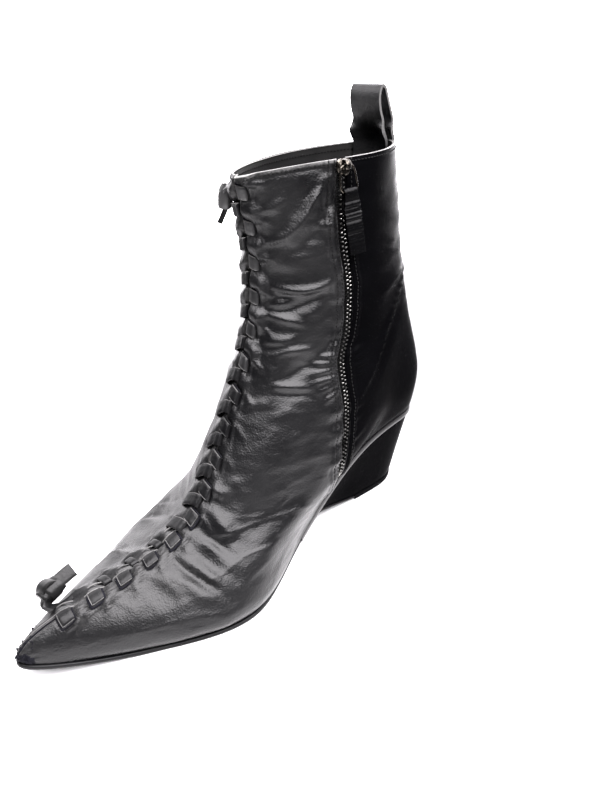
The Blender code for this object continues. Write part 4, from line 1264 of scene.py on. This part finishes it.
LEAN = math.radians(PULL_LEAN)
PULL_POINT = SLIDER_POINT + PIVOT_OUT * SLIDER_OUT
PULL_FORE = math.cos(LEAN) * SLIDER_FORE + math.sin(LEAN) * SLIDER_DOWN
PULL_DOWN = math.cos(LEAN) * SLIDER_DOWN - math.sin(LEAN) * SLIDER_FORE


def on_pull(rows):
    """Places given as distances along the puller's bar, down and outward from its middle."""
    return PULL_POINT + np.asarray(rows, float) @ np.stack([PULL_FORE, PULL_DOWN, SLIDER_OUT])


# Slider's plate: middle and half length along the zip, half width there and its narrowing, and the rounded
# edge as height over the leather and share of the size; then the bridge's half length, foot and rise
PLATE_MIDDLE = 0.75
PLATE_HALF = 3.55
PLATE_WIDE = 3.9
PLATE_TAPER = 0.16
PLATE_EDGE = ((1.0, 0.86), (1.3, 1.0), (2.0, 1.0), (2.5, 0.84))
BRIDGE_HALF = 2.2
BRIDGE_FOOT = 2.2
BRIDGE_RISE = 3.5
LINK_WIRE = 0.5


def squared(values, power):
    """Sine or cosine values pushed out, so that a round outline gets fuller corners."""
    return np.sign(values) * np.abs(values) ** power


def slider_shape():
    """Pear-shaped plate with rounded edges and a bowed bridge for the puller."""
    angle = np.linspace(0, 2 * math.pi, 28, endpoint=False)
    long_way = PLATE_HALF * np.sin(angle)
    half = PLATE_WIDE - PLATE_TAPER * (PLATE_MIDDLE + long_way)
    sections = []
    for lift, share in PLATE_EDGE:
        wide = share * half * squared(np.cos(angle), 0.6)
        rows = np.column_stack([wide, PLATE_MIDDLE + share * long_way, np.full(len(angle), lift)])
        sections.append(on_slider(rows))
    bow = np.linspace(0, math.pi, 15)
    rise = BRIDGE_FOOT + BRIDGE_RISE * np.sin(bow) ** 0.8
    bridge = on_slider(np.column_stack([np.zeros(len(bow)), -BRIDGE_HALF * np.cos(bow), rise]))
    return joined([loft(sections), swept(bridge, SLIDER_FORE, 1.2, 0.5, sides=10, square=0.5)])


def link_shape():
    """Metal ring through the bridge, wider at the tab's end."""
    angle = np.linspace(0, 2 * math.pi, 48, endpoint=False)
    long_way = LINK_LENGTH / 2 * (1 - squared(np.cos(angle), 0.5))
    half = (LINK_HALF - LINK_WIRE) * (0.8 + 0.2 * long_way / LINK_LENGTH)
    ring = on_pull(np.column_stack([half * squared(np.sin(angle), 0.5), long_way, 0 * half]))
    return swept(ring, SLIDER_OUT, LINK_WIRE, LINK_WIRE, sides=8, ring=True)


def tab_shape():
    """Leather strap folded over the ring, gathered there, with pressed cross folds below."""
    straight = np.linspace(TAB_END, LINK_LENGTH + 3.0, 60)
    spread = TAB_LAYER + 0.5 * bump(straight, LINK_LENGTH + 3.0, 2.2)
    bow = np.linspace(0, math.pi, 13)[1:-1]
    t = np.concatenate([straight, LINK_LENGTH - TAB_FOLD * np.sin(bow), straight[::-1]])
    n = np.concatenate([spread, TAB_FOLD * np.cos(bow), -spread[::-1]])
    half = TAB_NECK + (TAB_HALF - TAB_NECK) * smooth(LINK_LENGTH + 1, LINK_LENGTH + 7, t)
    waves = 0.3 * np.sin(2 * math.pi * t / 2.3 + 1.3 * np.sin(t / 1.7)) + 0.3 * np.sin(2 * math.pi * t / 5.2)
    ripple = waves * bump(t, LINK_LENGTH + 9, 9.5) * (n > 0)
    folded = on_pull(np.column_stack([0 * t, t, n + ripple]))
    return swept(folded, PULL_FORE, half, 0.5, sides=12, square=FLAT_STRAP)


slider = piece("zip_slider_body", slider_shape(), [PULL_METAL], sharp=40)
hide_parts("zip_slider")
link = piece("zip_pull_ring", link_shape(), [PULL_METAL], body="zip_pull")
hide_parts("zip_link")
tab = piece("zip_pull_tab", tab_shape(), [TAB_LEATHER], body="zip_pull")
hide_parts("zip_tab")


# Pull loop: height of its small crinkles
LOOP_CRINKLE = 0.35


def loop_shape():
    """Strap that follows the collar's curve at its ends and is flat higher up."""
    bends = through(LOOP_BENDS, 113)
    turn = np.linspace(0, 1.2, 40)
    top = np.full(len(turn), float(TOP_LEVEL))
    rim = np.concatenate([spot(top, turn, INNER)[::-1], spot(top, turn, OUTER)[1:]])
    across = LOOP_SHIFT + LOOP_WIDTH * np.linspace(-0.5, 0.5, 19)
    edge = HEEL_REST - np.interp(across, rim[:, 1], rim[:, 0])
    middle = edge[len(across) // 2]
    oblique = np.sqrt(1 + np.gradient(edge, across) ** 2)
    run = unit(np.gradient(bends, axis=0))
    place = np.arange(len(bends))[:, None]
    crinkle = LOOP_CRINKLE * bump(place, 90, 10) * np.sin(place / 2.1) * np.linspace(0.4, 1, len(across))
    grids = []
    for lift in (LOOP_THICK / 2, -LOOP_THICK / 2):
        forward = bends[:, 0] - lift * run[:, 1]
        height = bends[:, 1] + lift * run[:, 0]
        flat = smooth(LOOP_CURVED, LOOP_FLAT, height)[:, None]
        s = flat * (middle + forward[:, None]) + (1 - flat) * (edge + forward[:, None] * oblique)
        y = np.broadcast_to(across, s.shape)
        z = COLLAR_HEIGHT + height[:, None] + crinkle
        grids.append(np.stack([HEEL_REST - s, y, z], axis=-1))
    return strap_kinds(shell(grids[1], grids[0]))


loop = piece("pull_loop_strap", loop_shape(), [STRAP_LEATHER, EDGE_AND_HIGHLIGHT_GREY], sharp=40)
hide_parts("pull_loop")


# Sole and heel
def plan_edge(turn, side, extra):
    """Feather edge moved outward in plan by extra, at each turn."""
    level = np.zeros_like(turn)
    e = 0.004
    point = spot(level, turn, side)
    run = unit((spot(level, turn + e, side) - spot(level, turn - e, side))[:, :2])
    out = np.stack([run[:, 1], -run[:, 0]], axis=-1) * side
    point[:, :2] += out * np.asarray(extra)[..., None]
    return point


def run_of(turn):
    """Distance from the heel's back along the feather edge."""
    return HEEL_REST - spot(np.zeros_like(turn), turn, OUTER)[:, 0]


def feather_turn(s):
    return float(turn_at(np.zeros(1), np.array([s]))[0])


def narrowed(turn, side, extra=0.0):
    """Edge of the sole: inside the feather edge under the wedge, a little outside it at the forefoot."""
    s = run_of(turn)
    edge = plan_edge(turn, side, SOLE_EDGE * smooth(140, 172, s) + extra)
    keep = WAIST_SHARE[side]
    edge[:, 1] *= keep + (1 - keep) * smooth(84, 120, s)
    return edge


def sole_bottom(s):
    spring = TOE_SPRING * np.clip((s - FLAT_TO) / (LENGTH - FLAT_TO), 0, 1) ** SPRING_POWER
    arch = np.clip(curve(ARCH, np.clip(s, LIFT_FRONT, FLAT_FROM)), 0, None)
    return np.where(s >= FLAT_FROM, spring, arch)


def heel_edge(turn, side, extra=0.0):
    """Bottom edge of the wedge, narrower than the feather edge and slanted in at the back."""
    s = run_of(turn)
    edge = narrowed(turn, side, extra)
    edge[:, 0] -= BACK_SLANT * (1 - smooth(0, LIFT_FRONT, s))
    return edge


# Rounding of a plate's edge: inset and share of the height from bottom to top
ROUNDED = ((1.0, 0.0), (0.35, 0.08), (0.05, 0.28), (0.0, 0.55), (0.08, 0.8), (0.4, 0.96), (0.9, 1.0))


def plate_sections(edge_of, turn, bottom, top, inset):
    """Sections across a plate with rounded edges."""
    rows = []
    for side in (INNER, OUTER):
        rim = []
        for pull, share in ROUNDED:
            edge = edge_of(turn, side, -inset * pull)
            edge[:, 2] = bottom + (top - bottom) * share
            rim.append(edge)
        rows.append(rim)
    return np.stack([*rows[0], *reversed(rows[1])], axis=1)


# Sections of the outsole round the tip, as shares of the turn left there
TIP_STEPS = (0.86, 0.72, 0.58, 0.44, 0.3, 0.18, 0.08)


def outsole_shape():
    arch = np.linspace(LIFT_FRONT + 0.6, WEDGE_FRONT, 24)
    forefoot = np.linspace(WEDGE_FRONT + 1.0, 250, 64)
    turn = np.array([feather_turn(s) for s in (*arch, *forefoot)])
    turn = np.concatenate([turn, math.pi - (math.pi - turn[-1]) * np.array(TIP_STEPS)])
    s = run_of(turn)
    top = feather((1 - np.cos(turn)) / 2) - GAP
    bottom = sole_bottom(s)
    top = np.where(s > WEDGE_FRONT + 0.4, top, bottom + SOLE_ARCH_THICK)
    return loft(plate_sections(narrowed, turn, bottom, top, 0.9))


# Rows down the wedge's side as shares of its height; its waist, and the rounding of its upper and lower edge
WEDGE_ROWS = (0.0, 0.02, 0.06, 0.14, 0.25, 0.38, 0.5, 0.62, 0.75, 0.86, 0.94, 0.98, 1.0)
WEDGE_WAIST = 0.06
WEDGE_ROUND = 0.7


def wedge_shape():
    turn = np.concatenate([np.linspace(0.03, 0.5, 26), np.linspace(0.52, feather_turn(WEDGE_FRONT), 64)])
    top_z = feather((1 - np.cos(turn)) / 2) - SEAT_GAP
    s = HEEL_REST - heel_edge(turn, INNER)[:, 0]
    low_z = np.where(s > LIFT_FRONT, sole_bottom(s) + SOLE_ARCH_THICK, LIFT_THICK) + GAP
    rows = []
    for side in (INNER, OUTER):
        top = plan_edge(turn, side, 0.0)
        bottom = heel_edge(turn, side)
        top[:, 2] = top_z
        bottom[:, 2] = low_z
        line = []
        for u in WEDGE_ROWS:
            edge = (1 - u) * top + u * bottom
            edge[:, 1] *= 1 - WEDGE_WAIST * u * (1 - u)
            edge[:, 1] -= side * WEDGE_ROUND * abs(2 * u - 1) ** 14
            line.append(edge)
        rows.append(line)
    return loft(np.stack([*rows[0], *reversed(rows[1])], axis=1))


def lift_shape():
    turn = np.linspace(0.03, feather_turn(LIFT_FRONT), 60)
    return loft(plate_sections(heel_edge, turn, np.zeros(60), np.full(60, LIFT_THICK), 0.5))


outsole = piece("outsole_rounded", outsole_shape(), [SOLE_LEATHER], sharp=60)
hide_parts("outsole")
wedge = piece("wedge_covered", wedge_shape(), [WEDGE_SHADED_LEATHER], sharp=60)
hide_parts("wedge")
lift = piece("top_lift_rounded", lift_shape(), [LIFT_RUBBER], sharp=60)
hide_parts("top_lift")


# Folded top edge of the wedge's cover: how far below the feather line, half height and half thickness
FOLD_BELOW = 1.5
FOLD_HALF = 1.7
FOLD_THICK = 0.5


def wedge_fold_shape():
    turn = np.linspace(feather_turn(WEDGE_FRONT), 0.02, 120)
    lines = []
    for side, turns in ((INNER, turn), (OUTER, turn[::-1])):
        line = plan_edge(turns, side, 0.0)
        line[:, 2] = feather((1 - np.cos(turns)) / 2) - FOLD_BELOW
        lines.append(line)
    return swept(np.concatenate(lines), (0, 0, 1), FOLD_HALF, FOLD_THICK)


piece("wedge_top_folds", wedge_fold_shape(), [BACK_LEATHER])
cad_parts["insole"].data.materials.clear()
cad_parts["insole"].data.materials.append(BOARD)


# Torn bits of leather at the toe's tip
FRAY_COUNT = 44
FRAY_SEED = 11


def fray_shapes():
    pick = np.random.default_rng(FRAY_SEED)
    shapes = []
    for n in range(FRAY_COUNT):
        side = INNER if n % 2 else OUTER
        level = pick.uniform(0.25, 1.75)
        turn = math.pi - pick.uniform(0.0, 0.22)
        point = spot(level, turn, side)[0]
        out = facing(np.array([level]), np.array([turn - 0.02]), side)[0]
        lean = unit(out * 0.75 + pick.normal(0.0, 0.55, 3))
        length = pick.uniform(0.9, 2.6)
        bend = pick.normal(0.0, 0.35, 3) * length
        t = np.linspace(0, 1, 6)[:, None]
        path = point - 0.4 * out + length * t * lean + bend * t * t
        wide = pick.uniform(0.5, 1.1) * (1.05 - t[:, 0] ** 2)
        shapes.append(swept(path, np.cross(lean, out) + 0.05, wide, 0.16, sides=6))
    return shapes


piece("toe_fraying", joined(fray_shapes()), [TORN_AND_SHADOW_LEATHER])


# Back seam, a little round to the inner side: level and turn
BACK_SEAM = ((2.3, 0.38), (4.0, 0.37), (5.0, 0.40), (6.0, 0.45), (7.0, 0.50), (8.0, 0.44))


def back_seam_shape():
    level = np.linspace(BACK_SEAM[0][0], TAPE_TOP, 140)
    turn = curve(BACK_SEAM, level)
    point = spot(level, turn, INNER)
    out = facing(level, turn, INNER)
    side = np.cross(np.gradient(point, axis=0), out)
    return swept(point + 0.3 * out, side, 0.7, 0.6, sides=8)


# The back seam gets the darker, glossless copy too, painted shade
piece("back_seam", back_seam_shape(), [QUARTER_SHADED_LEATHER])


# Floor, light and camera; the floor's colour is pale round the forefoot and darker further out, a painted
# pool of light
TO_FOREFOOT = (0.16, 0.04, 0.0)
FLOOR_NEAR = (0.82, 0.82, 0.82, 1)
FLOOR_FAR = (0.16, 0.16, 0.16, 1)
FLOOR_FADE = (0.09, 0.27)
FLOOR_ROUGHNESS = 0.6
BACKDROP_UNEVEN = (0.98, 1.02)
FLOOR_HALF = 3.0
FLOOR_BEND = 0.5
SWEEP = 0.5
BACKDROP_GLOW = 3.2
WARM_WHITE = (1.0, 0.97, 1.0)
ROOM_COLOUR = (0.9, 0.92, 1.0, 1)
ROOM_STRENGTH = 0.14
BOOT_MIDDLE = (-0.09, 0.0, 0.09)
# Area lights: place, aim, size and power
LIGHTS = {
    "top_softbox": ((0.0, -0.45, 1.15), (0.0, -0.2, 0.0), (1.7, 1.3), 96),
    "left_softbox": ((-0.8, 0.7, 0.8), BOOT_MIDDLE, (0.5, 0.7), 4),
    "side_softbox": ((-0.15, -1.25, 0.95), BOOT_MIDDLE, (1.4, 0.45), 17),
}


def stage():
    made, tree, shader = nodes_of("floor_white")
    place = object_place(tree)
    moved = node(tree, "ShaderNodeVectorMath", {0: place, 1: TO_FOREFOOT}, operation="ADD")
    far = node(tree, "ShaderNodeVectorMath", {0: moved.outputs["Vector"]}, operation="LENGTH")
    fade = ramp(tree, far.outputs["Value"], *FLOOR_FADE)
    # Painted pool of light: pale floor colour near the forefoot, darker further out
    mix = node(tree, "ShaderNodeMix", {"Factor": fade}, data_type="RGBA")
    mix.inputs["A"].default_value = FLOOR_NEAR
    mix.inputs["B"].default_value = FLOOR_FAR
    tree.links.new(mix.outputs["Result"], shader.inputs["Base Color"])
    shader.inputs["Roughness"].default_value = FLOOR_ROUGHNESS
    backdrop, tree, shader = nodes_of("backdrop_white")
    shade = node(tree, "ShaderNodeTexNoise", {"Vector": object_place(tree), "Scale": 1.5, "Detail": 1.0})
    uneven = ramp(tree, shade.outputs["Fac"], 0.0, 1.0, *BACKDROP_UNEVEN)
    tree.links.new(uneven, shader.inputs["Emission Strength"])
    shader.inputs["Emission Color"].default_value = (*(BACKDROP_GLOW * c for c in WARM_WHITE), 1)
    behind = Vector((-math.sin(math.radians(CAMERA_AZIMUTH)), math.cos(math.radians(CAMERA_AZIMUTH)), 0))
    beside = Vector((behind.y, -behind.x, 0))
    profile = [(-FLOOR_HALF, 0.0), (FLOOR_BEND, 0.0)]
    for n in range(1, 13):
        angle = n / 12 * math.pi / 2
        profile.append((FLOOR_BEND + SWEEP * math.sin(angle), SWEEP * (1 - math.cos(angle))))
    profile.append((FLOOR_BEND + SWEEP, FLOOR_HALF))
    verts = []
    for forward, high in profile:
        for across in (-FLOOR_HALF, FLOOR_HALF):
            verts.append(behind * forward + beside * across + Vector((0, 0, high)))
    faces = [(2 * n, 2 * n + 1, 2 * n + 3, 2 * n + 2) for n in range(len(profile) - 1)]
    mesh = bpy.data.meshes.new("floor")
    mesh.from_pydata(verts, [], faces)
    mesh.polygons.foreach_set("use_smooth", [True] * len(faces))
    mesh.materials.append(made)
    mesh.materials.append(backdrop)
    mesh.polygons.foreach_set("material_index", [min(n, 1) for n in range(len(faces))])
    floor = bpy.data.objects.new("floor", mesh)
    bpy.context.scene.collection.objects.link(floor)


def light(name, place, aim, size, watts):
    data = bpy.data.lights.new(name, "AREA")
    data.shape = "RECTANGLE"
    data.size, data.size_y = size
    data.energy = watts
    data.color = WARM_WHITE
    made = bpy.data.objects.new(name, data)
    made.location = place
    made.rotation_euler = (Vector(aim) - Vector(place)).to_track_quat("-Z", "Y").to_euler()
    bpy.context.scene.collection.objects.link(made)


def camera():
    azimuth, elevation, roll = (math.radians(a) for a in (CAMERA_AZIMUTH, CAMERA_ELEVATION, CAMERA_ROLL))
    back = Vector((math.sin(azimuth) * math.cos(elevation), -math.cos(azimuth) * math.cos(elevation),
                   math.sin(elevation)))
    right = Vector((math.cos(azimuth), math.sin(azimuth), 0))
    up = back.cross(right)
    leant_right = math.cos(roll) * right + math.sin(roll) * up
    leant_up = math.cos(roll) * up - math.sin(roll) * right
    data = bpy.data.cameras.new("camera")
    data.lens = CAMERA_LENS
    data.clip_start = 0.01
    made = bpy.data.objects.new("camera", data)
    turned = Matrix((leant_right, leant_up, back)).transposed().to_4x4()
    made.matrix_world = Matrix.Translation((Vector(CAMERA_AIM) + CAMERA_DISTANCE * back) * MM) @ turned
    bpy.context.scene.collection.objects.link(made)
    bpy.context.scene.camera = made


stage()
world = bpy.data.worlds.new("studio")
world.use_nodes = True
world.node_tree.nodes["Background"].inputs["Color"].default_value = ROOM_COLOUR
world.node_tree.nodes["Background"].inputs["Strength"].default_value = ROOM_STRENGTH
bpy.context.scene.world = world
bpy.context.scene.view_settings.view_transform = "Standard"
for name, settings in LIGHTS.items():
    light(name, *settings)
camera()
